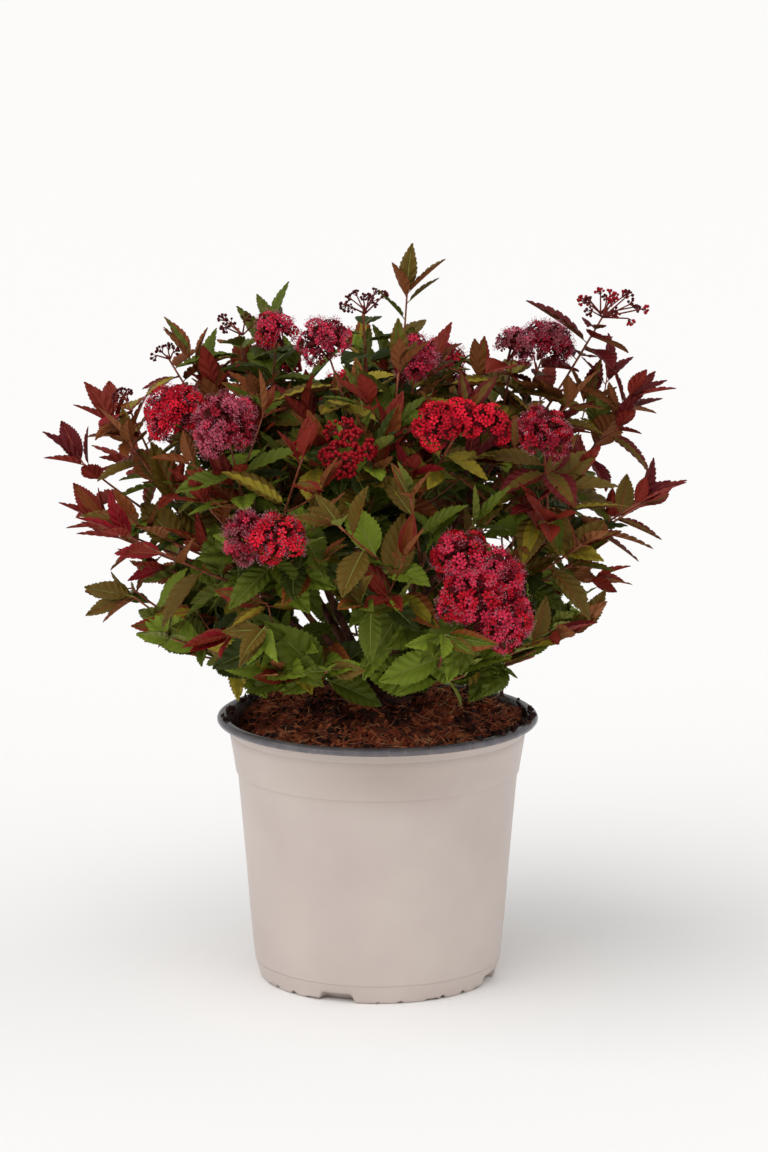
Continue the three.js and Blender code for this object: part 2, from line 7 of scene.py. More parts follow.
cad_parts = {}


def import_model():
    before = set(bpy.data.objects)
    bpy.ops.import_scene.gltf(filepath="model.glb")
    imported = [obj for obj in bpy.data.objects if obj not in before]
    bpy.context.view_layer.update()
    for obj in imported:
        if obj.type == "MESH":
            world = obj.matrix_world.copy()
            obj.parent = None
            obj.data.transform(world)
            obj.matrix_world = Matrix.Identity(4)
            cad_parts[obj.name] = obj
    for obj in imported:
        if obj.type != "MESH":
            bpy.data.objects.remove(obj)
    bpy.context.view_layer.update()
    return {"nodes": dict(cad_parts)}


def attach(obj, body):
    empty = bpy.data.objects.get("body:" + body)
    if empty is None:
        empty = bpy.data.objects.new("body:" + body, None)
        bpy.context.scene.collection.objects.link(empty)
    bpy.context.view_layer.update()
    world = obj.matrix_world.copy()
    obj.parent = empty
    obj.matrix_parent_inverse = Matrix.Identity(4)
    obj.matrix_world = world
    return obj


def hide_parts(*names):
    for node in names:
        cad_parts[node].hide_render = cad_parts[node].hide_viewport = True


# A flowering spirea in its nursery pot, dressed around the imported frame.
# All sizes here are millimetres, as in the part's source; addPiece turns them to metres.
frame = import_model()
nodeNames = sorted(frame["nodes"])
foliageNodes = [name for name in nodeNames if name.startswith("foliage_")]
boughNodes = [name for name in nodeNames if name.startswith("bough_")]
print("frame loaded with", len(nodeNames), "nodes")

toMetres = 0.001
up = np.array([0.0, 0.0, 1.0])
goldenTurn = 137.508
seeds = {
    "bed": 12, "paleChip": 5, "stems": 300, "heads": 540, "strays": 700, "fillers": 900, "scatter": 41,
    "stemSprays": 1300, "stemTwigs": 1400, "twigs": 5000, "blades": 7, "florets": 23,
}
counts = {}  # triangles of each piece


# Numbers and directions

def mix(a, b, t):
    return a + (b - a) * t


def ease(x):
    t = min(max(x, 0.0), 1.0)
    return t * t * (3 - 2 * t)


def unit(vectors):
    # one direction or a row of them
    return vectors / np.linalg.norm(vectors, axis=-1, keepdims=True)


def direction(turn, rise):
    turn, rise = radians(turn), radians(rise)
    return np.array([cos(rise) * cos(turn), cos(rise) * sin(turn), sin(rise)])


def stream(seed):
    # the same even numbers from 0 to 1 as the part's source draws
    state = seed & 0xffffffff

    def draw():
        nonlocal state
        state = (state * 1664525 + 1013904223) & 0xffffffff
        return state / 4294967296
    return draw


def squareTo(along):
    guide = np.where(np.abs(along[..., 2:]) > 0.9, np.array([1.0, 0.0, 0.0]), up)
    side = unit(np.cross(guide, along))
    return side, np.cross(along, side)


# Meshes: every part is a pair of points and triangles, and parts of a kind are joined

def joinParts(parts):
    starts = np.cumsum([0] + [len(part[0]) for part in parts[:-1]])
    faces = [part[1] + start for part, start in zip(parts, starts)]
    return np.concatenate([part[0] for part in parts]), np.concatenate(faces)


def repeatPart(points, faces):
    # points holds one row of corners for each copy
    copies, corners = points.shape[:2]
    shift = (np.arange(copies) * corners)[:, None, None]
    return points.reshape(-1, 3), (faces[None] + shift).reshape(-1, 3)


def addObject(name, data):
    newObject = bpy.data.objects.new(name, data)
    bpy.context.scene.collection.objects.link(newObject)
    return newObject


def addPiece(name, part, material, nodes, slot, smooth=True):
    points, faces = part
    mesh = bpy.data.meshes.new(name)
    mesh.from_pydata((points * toMetres).tolist(), [], faces.tolist())
    mesh.polygons.foreach_set("use_smooth", [smooth] * len(mesh.polygons))
    mesh.materials.append(material)
    piece = addObject(name, mesh)
    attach(piece, "root")
    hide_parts(*nodes)
    counts[name] = len(faces)


def gridFaces(rings, sides):
    # triangles between closed rings of points
    ring, side = np.meshgrid(np.arange(rings - 1), np.arange(sides), indexing="ij")
    a = (ring * sides + side).ravel()
    b = (ring * sides + (side + 1) % sides).ravel()
    c, d = b + sides, a + sides
    return np.concatenate([np.stack([a, b, c], 1), np.stack([a, c, d], 1)])


def tube(path, radiusAt, sides, rings):
    # a limb along a path, with its far end closed; radiusAt gives each ring's radii
    steps = np.linspace(0, 1, rings + 1)
    centres = np.array([path(t) for t in steps])
    headings = unit(np.gradient(centres, axis=0))
    angles = (2 * pi * np.arange(sides) / sides)[:, None]
    side = squareTo(headings[0])[0]
    points = []
    for t, centre, heading in zip(steps, centres, headings):
        side = unit(side - heading * (side @ heading))
        over = np.cross(heading, side)
        points.append(centre + radiusAt(t, angles) * (np.cos(angles) * side + np.sin(angles) * over))
    last = rings * sides
    cap = np.array([[last + k, last + (k + 1) % sides, last + sides] for k in range(sides)])
    return np.concatenate(points + [centres[-1:]]), np.concatenate([gridFaces(rings + 1, sides), cap])


def strandRing(centre, radius, side, over, phase=0.0):
    # three corners round each of many thin strands
    angles = [2 * pi * (k + phase) / 3 for k in range(3)]
    return [centre + radius * (cos(angle) * side + sin(angle) * over) for angle in angles]


def prisms(stalks, startRadius, endRadius):
    # many thin straight stalks, from pairs of a start and an end
    starts, ends = np.array(stalks).swapaxes(0, 1)
    side, over = squareTo(unit(ends - starts))
    rings = strandRing(starts, startRadius, side, over) + strandRing(ends, endRadius, side, over)
    faces = np.array([[0, 1, 4], [0, 4, 3], [1, 2, 5], [1, 5, 4], [2, 0, 3], [2, 3, 5], [3, 4, 5]])
    return repeatPart(np.stack(rings, 1), faces)


# Materials

def linear(hexColour):
    channels = [int(hexColour[k:k + 2], 16) / 255 for k in (1, 3, 5)]
    return [c / 12.92 if c <= 0.04045 else ((c + 0.055) / 1.055) ** 2.4 for c in channels] + [1.0]


def patternScale(millimetres):
    return 1 / (millimetres * toMetres)


def addNode(tree, kind, settings={}, links={}, stops=()):
    # a link names a socket, or a node for its first one; stops are a ramp's places and colours
    node = tree.nodes.new("ShaderNode" + kind)
    for name, value in settings.items():
        if isinstance(name, str) and hasattr(node, name):
            setattr(node, name, value)
        else:
            node.inputs[name].default_value = value
    for name, source in links.items():
        tree.links.new(source.outputs[0] if hasattr(source, "outputs") else source, node.inputs[name])
    for k, (place, colour) in enumerate(stops):
        node.color_ramp.elements[k].position = place
        node.color_ramp.elements[k].color = linear(colour)
    return node


def newMaterial(name):
    material = bpy.data.materials.new(name)
    material.use_nodes = True
    material.node_tree.nodes.clear()
    place = addNode(material.node_tree, "TexCoord").outputs["Object"]
    return material, material.node_tree, place


def finished(material, settings, links={}):
    shader = addNode(material.node_tree, "BsdfPrincipled", settings, links)
    addNode(material.node_tree, "OutputMaterial", {}, {"Surface": shader})
    return material


# The camera stands higher than the crown and looks a little down; its place is in metres

camera = {"place": (0.00479, -3.2, 0.9324), "pitch": -11.106, "lens": 137.1, "sensor": 36}
cameraData = bpy.data.cameras.new("camera")
cameraData.lens = camera["lens"]
cameraData.sensor_width = camera["sensor"]
cameraObject = addObject("camera", cameraData)
cameraObject.location = camera["place"]
cameraObject.rotation_euler = (radians(90 + camera["pitch"]), 0, 0)
bpy.context.scene.camera = cameraObject

# The pot: a white wall moulded round a dark lining that rolls over the lip

pot = {
    "segments": 360,
    "wallOutline": [
        (0, 0), (40, 0), (78, 0), (86.6, 0), (88.1, 0.5), (88.9, 1.6), (89.3, 3.4), (90.9, 9),
        (92.3, 13.4), (92.4, 13.8), (91.9, 14.1), (92.5, 14.5), (92.6, 15.2), (95.6, 45), (98.6, 85),
        (101.7, 122), (104.3, 152), (104.8, 157.0), (105.1, 157.4), (106.0, 157.9), (106.2, 158.5),
        (106.3, 159.4), (107.6, 168), (109.6, 180), (110.7, 186.8), (110.3, 187.3), (110.9, 187.9),
        (111.2, 189), (111.5, 191.5), (112.6, 193.2), (114.6, 193.9),
    ],
    "liningOutline": [
        (114.4, 193.8), (116.8, 194.0), (118.9, 194.9), (119.9, 196.2), (120.0, 197.4), (119.3, 198.8),
        (117.9, 199.7), (116.0, 200.0), (113.6, 199.7), (112.0, 199.0), (111.4, 198.0), (110.8, 195.5),
        (108.8, 192.4), (108.1, 187), (107.2, 180), (103.9, 158.4), (102.6, 157.2), (102.2, 150),
        (99.4, 120), (86.8, 9.5), (78, 9.5), (78, 3.2), (0, 3),
    ],
    "notches": {"count": 4, "firstTurn": 250, "halfWidth": 8.4, "height": 7, "edge": 1.6},
    "slots": [(20, 1.5), (31, 2.0), (53, 3.0), (65.5, 3.0)],  # degrees past each notch, and radius
    "recesses": [(43, 51), (73, 85)],  # shallow gaps under the foot, from and to
    "recessHeight": 1.7,
    "footRadius": 89,
    "cutsFrom": 78.5,  # only the foot outside this is cut away
}


def footLift(turn):
    # how far the edge of the foot is cut away at each turn, in degrees
    rule = pot["notches"]
    step = 360 / rule["count"]
    past = (turn - rule["firstTurn"] + step / 2) % step - step / 2
    inward = rule["halfWidth"] + rule["edge"] / 2 - np.abs(past)
    lift = rule["height"] * np.clip(inward / rule["edge"], 0, 1)
    for at, radius in pot["slots"]:
        away = np.radians((past - at + step / 2) % step - step / 2) * pot["footRadius"]
        lift = np.maximum(lift, np.sqrt(np.clip(radius ** 2 - away ** 2, 0, None)))
    for start, end in pot["recesses"]:
        beyond = (past - start) % step
        inside = np.clip(np.minimum(beyond, (end - past) % step), 0, 1)
        lift = np.maximum(lift, np.where(beyond < end - start, pot["recessHeight"] * inside, 0))
    return lift


def turned(outline, hasFoot):
    turns = np.arange(pot["segments"]) * 360 / pot["segments"]
    radius, height = (np.repeat(column[:, None], len(turns), 1) for column in np.array(outline, float).T)
    if hasFoot:
        height = np.maximum(height, np.where(radius > pot["cutsFrom"], footLift(turns), 0))
    angles = np.radians(turns)
    points = np.stack([radius * np.cos(angles), radius * np.sin(angles), height], -1)
    return points.reshape(-1, 3), gridFaces(len(outline), len(turns))


def whitePolypropylene():
    # injection-moulded polypropylene: a warm white satin skin, faintly cloudy, with scuffs, and painted shade
    # on the band under the lip
    material, tree, place = newMaterial("mouldedWhitePolypropylene")
    cloud = addNode(tree, "TexNoise", {"Scale": patternScale(90), "Detail": 3.0}, {"Vector": place})
    tint = addNode(tree, "ValToRGB", {}, {"Fac": cloud}, [(0.35, "#c8bab3"), (0.65, "#d1c4bc")])
    speck = addNode(tree, "TexNoise", {"Scale": patternScale(7), "Detail": 6.0, "Roughness": 0.7},
                    {"Vector": place})
    grime = addNode(tree, "ValToRGB", {}, {"Fac": speck}, [(0.66, "#000000"), (0.80, "#5a5a5a")])
    coat = addNode(tree, "Mix", {"data_type": "RGBA", 7: linear("#8d7a6c")}, {0: grime, 6: tint})
    # painted shade: a brown darkening of the band under the lip, strongest in the middle of the front and
    # back, where the lip and the crown shade the wall
    flat = addNode(tree, "VectorMath", {"operation": "MULTIPLY_ADD", 1: (1, 0, 2.4), 2: (0, 0, -0.43)},
                   {0: place})
    away = addNode(tree, "VectorMath", {"operation": "LENGTH"}, {0: flat}).outputs["Value"]
    underLipShade = addNode(tree, "MapRange", {"From Max": 0.09, "To Min": 0.42, "To Max": 0.06}, {"Value": away})
    shadedCoat = addNode(tree, "Mix", {"data_type": "RGBA", 7: linear("#86705f")}, {0: underLipShade, 6: coat.outputs[2]})
    gloss = addNode(tree, "MapRange", {"To Min": 0.38, "To Max": 0.48}, {"Value": cloud})
    grain = addNode(tree, "TexNoise", {"Scale": patternScale(2.5), "Detail": 2.0}, {"Vector": place})
    bump = addNode(tree, "Bump", {"Strength": 0.12, "Distance": 0.0003}, {"Height": grain})
    skin = {"Base Color": shadedCoat.outputs[2], "Roughness": gloss, "Normal": bump}
    return finished(material, {"IOR": 1.49}, skin)


def darkPolypropylene():
    # the same resin filled with carbon black: dark grey, with a glossy rolled lip and dusty inside
    material, tree, place = newMaterial("mouldedDarkPolypropylene")
    dust = addNode(tree, "TexNoise", {"Scale": patternScale(12), "Detail": 5.0}, {"Vector": place})
    tint = addNode(tree, "ValToRGB", {}, {"Fac": dust}, [(0.36, "#59565b"), (0.80, "#767073")])
    gloss = addNode(tree, "MapRange", {"To Min": 0.16, "To Max": 0.36}, {"Value": dust})
    return finished(material, {"IOR": 1.52}, {"Base Color": tint, "Roughness": gloss})


addPiece("pot_wall", turned(pot["wallOutline"], True), whitePolypropylene(), ["pot"], "pot_plastic")
addPiece("pot_lining", turned(pot["liningOutline"], False), darkPolypropylene(), ["pot"], "pot_plastic")
print("pot made")

# The potting mix: a rough bed with a hollow at the left, strewn with bark, fibre and crumbs

bed = {
    "rimHeight": 196, "crownHeight": 208, "patchRadius": 34, "edgeRadius": 109,
    "hollow": {"turn": 185, "depth": 21, "spread": 37, "distance": 97},
    "rings": 64, "segments": 220,
    "lumpSize": 17, "lumpHeight": 6, "crumbSize": 5, "crumbHeight": 2.8,
    # the inside of the pot's wall: heights and radii
    "lining": ([9.5, 120, 150, 158.4, 180, 192.4, 195.5], [86.8, 99.4, 102.2, 103.9, 107.2, 108.8, 110.8]),
    "chips": 850, "fibres": 1900, "crumbs": 1100,
    # tilt in degrees and the ranges of length, width and thickness of each sort of bit
    "chipForm": (50, (3, 12), (1.5, 4.6), (0.7, 1.8)), "crumbForm": (80, (1.5, 6), (1.2, 5), (0.8, 4)),
    "strayForm": (80, (2, 7), (1.5, 4), (1, 3)), "paleChipForm": (12, (17, 18), (8, 9), (2, 2.4)),
    "redFibreForm": ((7, 22), 0.5), "paleFibreForm": ((6, 18), 0.4), "fibreTilt": 38,  # lengths and radius
    "strays": 70, "strayHeight": 200.3, "strayRadii": (109, 117.5),  # crumbs on the lip
    "strayShare": 0.6, "strayTurns": ((350, 22), (150, 26)),  # that share right, the rest at the back left
    "patchSize": 34,  # of dark peat between the bark
    "dampShare": 0.5,
    "patchFill": 0.3,  # how much still lies on the wrong sort of patch
    "paleChip": (58, -68),  # one broad chip of fresh bark at the front
}


def lumps(x, y, size):
    return noise.fractal(Vector((x / size, y / size, 0.3)), 0.8, 2.1, 3)


def bedHeight(x, y):
    radius = hypot(x, y)
    fall = ease((radius - bed["patchRadius"]) / (bed["edgeRadius"] - bed["patchRadius"]))
    hollow = bed["hollow"]
    middle = direction(hollow["turn"], 0) * hollow["distance"]
    away = hypot(x - middle[0], y - middle[1]) / hollow["spread"]
    height = mix(bed["crownHeight"], bed["rimHeight"], fall) - hollow["depth"] * exp(-away * away)
    rough = lumps(x, y, bed["lumpSize"]) * bed["lumpHeight"]
    rough += lumps(y, -x, bed["crumbSize"]) * bed["crumbHeight"]
    return height + rough * min(1.0, (bed["edgeRadius"] + 6 - radius) / 12)


def liningRadius(height):
    return float(np.interp(height, *bed["lining"]))


def makeBed():
    sides = bed["segments"]
    points = [(0.0, 0.0, bedHeight(0, 0))]
    for ring in range(1, bed["rings"] + 1):
        for k in range(sides):
            angle = 2 * pi * k / sides
            radius = bed["edgeRadius"] * ring / bed["rings"]
            height = bedHeight(radius * cos(angle), radius * sin(angle))
            radius = min(radius, liningRadius(height) - 0.3)
            points.append((radius * cos(angle), radius * sin(angle), height))
    centre = np.array([[0, 1 + k, 1 + (k + 1) % sides] for k in range(sides)])
    return np.array(points), np.concatenate([centre, gridFaces(bed["rings"], sides)[:, ::-1] + 1])


def scatterOnBed(draw, count, depth, onPeat):
    places = []
    while len(places) < count:
        radius = bed["edgeRadius"] * sqrt(draw.random())
        x, y, z = direction(draw.uniform(0, 360), 0) * radius
        isPeat = noise.noise(Vector((x / bed["patchSize"], y / bed["patchSize"], 4.2))) < -0.08
        if isPeat != onPeat and draw.random() > bed["patchFill"]:
            continue
        height = bedHeight(x, y)
        if radius <= liningRadius(height) - 4:
            places.append((x, y, height + draw.uniform(-depth, depth)))
    return np.array(places)


def turnedFrames(draw, count, tilt):
    # length, width and thickness axes of lying bits, tipped by up to tilt degrees
    turn = draw.uniform(0, 2 * pi, count)
    tip, roll = (np.radians(draw.uniform(-tilt, tilt, count)) for k in range(2))
    along = np.stack([np.cos(turn) * np.cos(tip), np.sin(turn) * np.cos(tip), np.sin(tip)], 1)
    side = np.stack([-np.sin(turn), np.cos(turn), 0 * turn], 1)
    side = side * np.cos(roll)[:, None] + np.cross(along, side) * np.sin(roll)[:, None]
    return along, side, np.cross(along, side)


def bits(draw, places, tilt, *ranges):
    # splinters with uneven corners; ranges are their lengths, widths and thicknesses
    count = len(places)
    axes = turnedFrames(draw, count, tilt)
    corners = np.array([[x, y, z] for x in (-0.5, 0.5) for y in (-0.5, 0.5) for z in (-0.5, 0.5)])
    shape = corners[None] * draw.uniform(0.55, 1.1, (count, 8, 3))
    shape = shape * np.stack([draw.uniform(*limits, count) for limits in ranges], 1)[:, None]
    points = places[:, None] + sum(shape[:, :, k:k + 1] * axis[:, None] for k, axis in enumerate(axes))
    faces = np.array([[0, 1, 3], [0, 3, 2], [4, 6, 7], [4, 7, 5], [0, 4, 5], [0, 5, 1],
                      [2, 3, 7], [2, 7, 6], [0, 2, 6], [0, 6, 4], [1, 5, 7], [1, 7, 3]])
    return repeatPart(points, faces)


def fibres(draw, places, lengths, radius):
    # thin bent strands of three sides and four steps
    along, side, over = turnedFrames(draw, len(places), bed["fibreTilt"])
    length = draw.uniform(*lengths, len(places))[:, None]
    sag = draw.uniform(-0.22, 0.22, (len(places), 2))
    rings = []
    for t in np.linspace(-0.5, 0.5, 5):
        centre = places + along * length * t
        centre = centre + length * (side * sag[:, :1] + over * sag[:, 1:]) * (0.25 - t * t) * 2
        rings += strandRing(centre, radius * (1 - 1.4 * abs(t)), side, over)
    return repeatPart(np.stack(rings, 1), gridFaces(5, 3))


def barkMaterial(name, dark, pale, grain, roughness):
    # milled and shredded bark and coir: matt, fibrous, damp and darker in patches
    material, tree, place = newMaterial(name)
    mottle = addNode(tree, "TexNoise", {"Scale": patternScale(grain), "Detail": 5.0, "Roughness": 0.65},
                     {"Vector": place})
    damp = addNode(tree, "TexNoise", {"Scale": patternScale(bed["patchSize"]), "Detail": 1.0},
                   {"Vector": place})
    both = addNode(tree, "Mix", {0: bed["dampShare"]}, {2: mottle, 3: damp})
    tint = addNode(tree, "ValToRGB", {}, {"Fac": both}, [(0.38, dark), (0.62, pale)])
    bump = addNode(tree, "Bump", {"Strength": 0.5, "Distance": 0.0008}, {"Height": mottle})
    return finished(material, {"Roughness": roughness, "IOR": 1.45}, {"Base Color": tint, "Normal": bump})


def strayPlaces(draw, count):
    isRight = draw.random(count) < bed["strayShare"]
    turns = np.where(isRight, *(draw.normal(*turns, count) for turns in bed["strayTurns"]))
    radii = draw.uniform(*bed["strayRadii"], count)
    lift = up * bed["strayHeight"]
    return np.array([direction(turn, 0) * radius + lift for turn, radius in zip(turns, radii)])


bedDraw = np.random.default_rng(seeds["bed"])
chips = bits(bedDraw, scatterOnBed(bedDraw, bed["chips"], 1.2, False), *bed["chipForm"])
redPlaces, palePlaces = np.split(scatterOnBed(bedDraw, bed["fibres"], 0.9, False) + up * 1.3, 2)
redFibres = fibres(bedDraw, redPlaces, *bed["redFibreForm"])
paleFibres = fibres(bedDraw, palePlaces, *bed["paleFibreForm"])
crumbPlaces = scatterOnBed(bedDraw, bed["crumbs"], 0.9, True) + up * 0.4
strays = strayPlaces(bedDraw, bed["strays"])
crumbs = joinParts([bits(bedDraw, crumbPlaces, *bed["crumbForm"]), bits(bedDraw, strays, *bed["strayForm"])])
palePlace = np.array([[*bed["paleChip"], bedHeight(*bed["paleChip"]) + 2.2]])
paleDraw = np.random.default_rng(seeds["paleChip"])
paleChip = bits(paleDraw, palePlace, *bed["paleChipForm"])
mixPieces = [  # name, part, smooth, and the material's name, dark and pale colour, grain and roughness
    ("bed", makeBed(), True, "milledPeatAndBark", "#36180e", "#8a452c", 5, 0.95),
    ("bark_chips", chips, False, "chippedPineBark", "#843d22", "#cc7548", 6, 0.85),
    ("red_fibres", redFibres, True, "shreddedRedCoir", "#903a24", "#cc643c", 6, 0.9),
    ("pale_fibres", paleFibres, True, "shreddedPaleCoir", "#b26c48", "#e6aa78", 6, 0.9),
    ("crumbs", crumbs, False, "crumbledPeat", "#140905", "#4a2416", 4, 0.95),
    ("pale_chip", paleChip, False, "freshPineBark", "#8a4a22", "#bf7638", 3, 0.8),
]
for name, part, smooth, *look in mixPieces:
    addPiece("mix_" + name, part, barkMaterial(*look), ["soil"], "potting_mix", smooth)
print("potting mix made")

# The crown grows by the rule of the part's source, with the same draws, and on to finer twigs

foot = np.array([0.0, 0.0, 205.0])
limbs = {
    "baseHeight": 15, "baseRadius": 27, "baseSunk": 3, "baseBend": 15, "baseBendLength": 105,
    "baseLumps": 0.12, "baseLumpSize": 3.5, "baseRidges": 11, "baseRidgeDepth": 0.06,
    "stubStart": 10, "stubEnd": 36, "stubRadius": 4.2,
    "stubPast": 0.3, "boughPast": 0.5,  # each runs on this far into the next limb
    "boughRadius": 3.6, "boughTipRadius": 2.3, "boughShare": 0.34,
    "leaderShare": 0.64, "leaderTipRadius": 1.5, "leaderTwigsTo": 0.68,
    "firstFork": 0.1, "lastFork": 0.97, "shootRadius": 1.3, "shootTipRadius": 0.75,
}
crown = {
    "skirtReach": 142, "crownReach": 318, "skirtRise": 6, "shoulderRise": 42, "lean": 0.04,
    "fillerShoots": 84, "lowestFillerRise": 13, "fillerReach": (0.74, 0.89), "clearTurn": 7.5,
    "rimRadius": 127, "skirtFloor": 240, "skirtSlope": 0.45, "mixClearance": 222,
    "rightFrom": 50, "rightSlope": 0.18,  # past this far to the right the skirt climbs faster
    "rightLift": 16,
    "jitter": (-6, 6, -3, 3),  # of a filler shoot's turn and rise, in degrees
    "shootBow": (0.03, 0.1), "shootRoom": 4, "endRoom": 5, "shootHeadGap": 3,
    "twigsTo": {"head": 0.87, "stray": 0.5, "leafyStray": 0.84, "filler": 0.68},  # this far along a shoot
    "headTilt": 0.89, "loneLobe": 0.5, "sharedLobe": 0.56, "lobeUnevenness": 0.07,
}
rings = [(21, 7, 190), (45, 7, 181), (67, 4, 182), (89, 1, 0)]  # each ring's rise, masses and first turn

# Flower heads: turn, rise and reach from the foot, width, height, lobes, and each lobe's petals and stage
headKeys = ("turn", "rise", "reach", "wide", "tall", "lobes", "petals", "stage")
headRows = [
    (206, 55, 284, 49, 52, 1, [("crimson", "scarlet")], "open"),
    (228, 55, 282, 46, 45, 1, [("dustyPink", "rose", "magenta")], "fading"),
    (195, 75, 295, 36, 30, 1, [("crimson", "rose")], "fading"),
    (238, 76, 292, 46, 40, 1, [("rose", "magenta")], "fading"),
    (303, 79, 273, 50, 30, 2, [("magenta", "rose")], "fading"),
    (296, 60, 270, 75, 40, 3, [("scarlet", "crimson")], "fresh"),
    (350, 69.5, 292, 38, 34, 1, [("agedPink", "magenta", "dustyPink")], "fading"),
    (317, 54, 277, 45, 38, 1, [("magenta", "magenta", "crimson")], "open"),
    (262, 57, 261, 40, 52, 3, [("ripeBud",)], "bud"),
    (244, 41, 242, 64, 44, 2, [("magenta", "rose", "agedPink"), ("scarlet", "crimson")], "fading"),
    (293, 33, 227, 66, 92, 4, [("crimson", "rose"), ("rose", "crimson", "magenta")], "open"),
    (7, 60, 345, 48, 22, 2, [("darkBud", "ripeBud")], "bud"),
    (180, 88, 304, 40, 18, 2, [("darkBud",)], "bud"),
    (174, 70, 304, 30, 18, 1, [("darkBud",)], "bud"),
    (244, 60, 246, 18, 15, 1, [("ripeBud",)], "bud"),
    (181, 51.5, 300, 15, 12, 1, [("darkBud",)], "bud"),
    (178, 59.5, 308, 16, 12, 1, [("darkBud",)], "bud"),
    (2, 65.3, 301, 39, 36, 1, [("magenta", "agedPink")], "fading"),
]
backRule = {
    "count": 9, "firstTurn": 52, "turnStep": 9.5, "rises": [34, 48, 62], "reach": 270, "reachStep": 9,
    "wide": 40, "wideStep": 7, "tall": 36, "tallStep": 4,
}
backPetals = [
    ([("scarlet", "crimson")], "open"), ([("rose", "dustyPink")], "fading"),
    ([("crimson", "magenta")], "open"), ([("ripeBud",)], "bud"), ([("agedPink", "magenta")], "fading"),
]
# long shoots that stand alone: turn, rise and reach
strayRows = [
    (184.6, 35, 246), (182.3, 40.5, 286), (174.8, 47, 290), (176, 62, 295), (0, 86, 311),
    (357, 38.5, 250), (5.6, 51, 296), (188, 26, 202), (341, 23.5, 168),
]
leafyStrays = (5, 6)  # the two at the right carry twigs further out


def fromFoot(turn, rise, distance):
    return foot + direction(turn, rise) * distance


def reachAt(turn, rise):
    shoulder = ease((rise - crown["skirtRise"]) / (crown["shoulderRise"] - crown["skirtRise"]))
    sway = 1 - crown["lean"] * cos(radians(turn)) * cos(radians(rise))
    return mix(crown["skirtReach"], crown["crownReach"], shoulder) * sway


def stemPoint(mass, distance):
    bend = limbs["baseBend"] * max(0.0, 1 - distance / limbs["baseBendLength"]) ** 2
    return fromFoot(mass.turn, mass.rise + bend * cos(radians(mass.rise)), distance)


def onCurve(curve, t):
    start, bend, end = curve
    return start * (1 - t) ** 2 + bend * 2 * t * (1 - t) + end * t * t


def curveLength(curve):
    points = np.array([onCurve(curve, k / 200) for k in range(201)])
    return float(np.linalg.norm(np.diff(points, axis=0), axis=1).sum())


masses = []
for ringRise, ringCount, firstTurn in rings:
    for k in range(ringCount):
        turn = firstTurn + 360 * k / ringCount
        masses.append(record(turn=turn, rise=ringRise, axis=direction(turn, ringRise), shoots=[]))
massAxes = np.array([mass.axis for mass in masses])
for k, mass in enumerate(masses):
    mass.number = k
    mass.between = mass.axis - np.delete(massAxes, k, 0)
    mass.apart = np.linalg.norm(mass.between, axis=1)
    reach = reachAt(mass.turn, mass.rise)
    mass.boughEnd = reach * limbs["boughShare"]
    start = stemPoint(mass, mass.boughEnd)
    middle = stemPoint(mass, reach * (limbs["boughShare"] + limbs["leaderShare"]) * 0.5)
    end = stemPoint(mass, reach * limbs["leaderShare"])
    curve = (start, middle * 2 - (start + end) * 0.5, end)
    mass.stem = record(curve=curve, span=curveLength(curve), draw=stream(seeds["stems"] + k), rise=mass.rise,
                       isStem=True, isLeafy=False, head=None, twigsTo=limbs["leaderTwigsTo"])


def ownerOf(point):
    return masses[int(np.argmax(massAxes @ (point - foot)))]


def insideRoom(points, mass, margin):
    return bool(np.all((np.atleast_2d(points) - foot) @ mass.between.T > margin * mass.apart))


def aboveMix(points):
    points = np.atleast_2d(points)
    beyondRim = np.hypot(points[:, 0], points[:, 1]) - crown["rimRadius"]
    skirt = crown["skirtFloor"] + crown["skirtSlope"] * beyondRim
    lowest = np.where(beyondRim > 0, skirt, crown["mixClearance"])
    lowest = lowest + crown["rightSlope"] * np.maximum(points[:, 0] - crown["rightFrom"], 0)
    return bool(np.all(points[:, 2] > lowest))


def headLobes(head):
    middle = fromFoot(head.turn, head.rise, head.reach)
    facing = direction(head.turn, head.rise * crown["headTilt"])
    side, over = squareTo(facing)
    count = head.lobes
    even = sqrt(head.wide * head.tall / count) * crown["sharedLobe" if count > 1 else "loneLobe"]
    isWide = head.wide > head.tall
    lobes = []
    for k in range(count):
        # in a zigzag row along the longer side, from its left end or from its top
        radius = even * (1 + crown["lobeUnevenness"] * sin(5 * k + head.turn))
        onward = 2 * k / (count - 1) - 1 if count > 1 else 0
        aside = 2 * (k % 2) - 1 if count > 2 else 0
        across = (onward if isWide else aside) * max(0, head.wide / 2 - radius)
        high = (aside if isWide else -onward) * max(0, head.tall / 2 - radius)
        away = side * across + over * high
        lobes.append(record(place=middle + away, radius=radius, facing=unit(facing + away * 0.5 / radius)))
    return lobes


for k in range(backRule["count"]):
    turn = backRule["firstTurn"] + backRule["turnStep"] * k
    reach = backRule["reach"] - backRule["reachStep"] * (k % 3) * (k % 2)
    wide = backRule["wide"] + backRule["wideStep"] * (k % 4)
    tall = backRule["tall"] + backRule["tallStep"] * (k % 3)
    petals, stage = backPetals[k % len(backPetals)]
    headRows.append((turn, backRule["rises"][k % 3], reach, wide, tall, 1 + k % 2, petals, stage))
heads = [record(**dict(zip(headKeys, row))) for row in headRows]
for head in heads:
    head.lobeList = headLobes(head)
    head.mass = ownerOf(fromFoot(head.turn, head.rise, head.reach))
ownedLobes = [(head.mass.number, lobe) for head in heads for lobe in head.lobeList]
lobeOwners = np.array([number for number, lobe in ownedLobes])
lobePlaces = np.array([lobe.place for number, lobe in ownedLobes])
lobeRadii = np.array([lobe.radius for number, lobe in ownedLobes])


def distancesToSegment(points, start, end):
    line = end - start
    t = np.clip(((points - start) @ line) / float(line @ line), 0, 1)
    return np.linalg.norm(start + t[:, None] * line - points, axis=1)


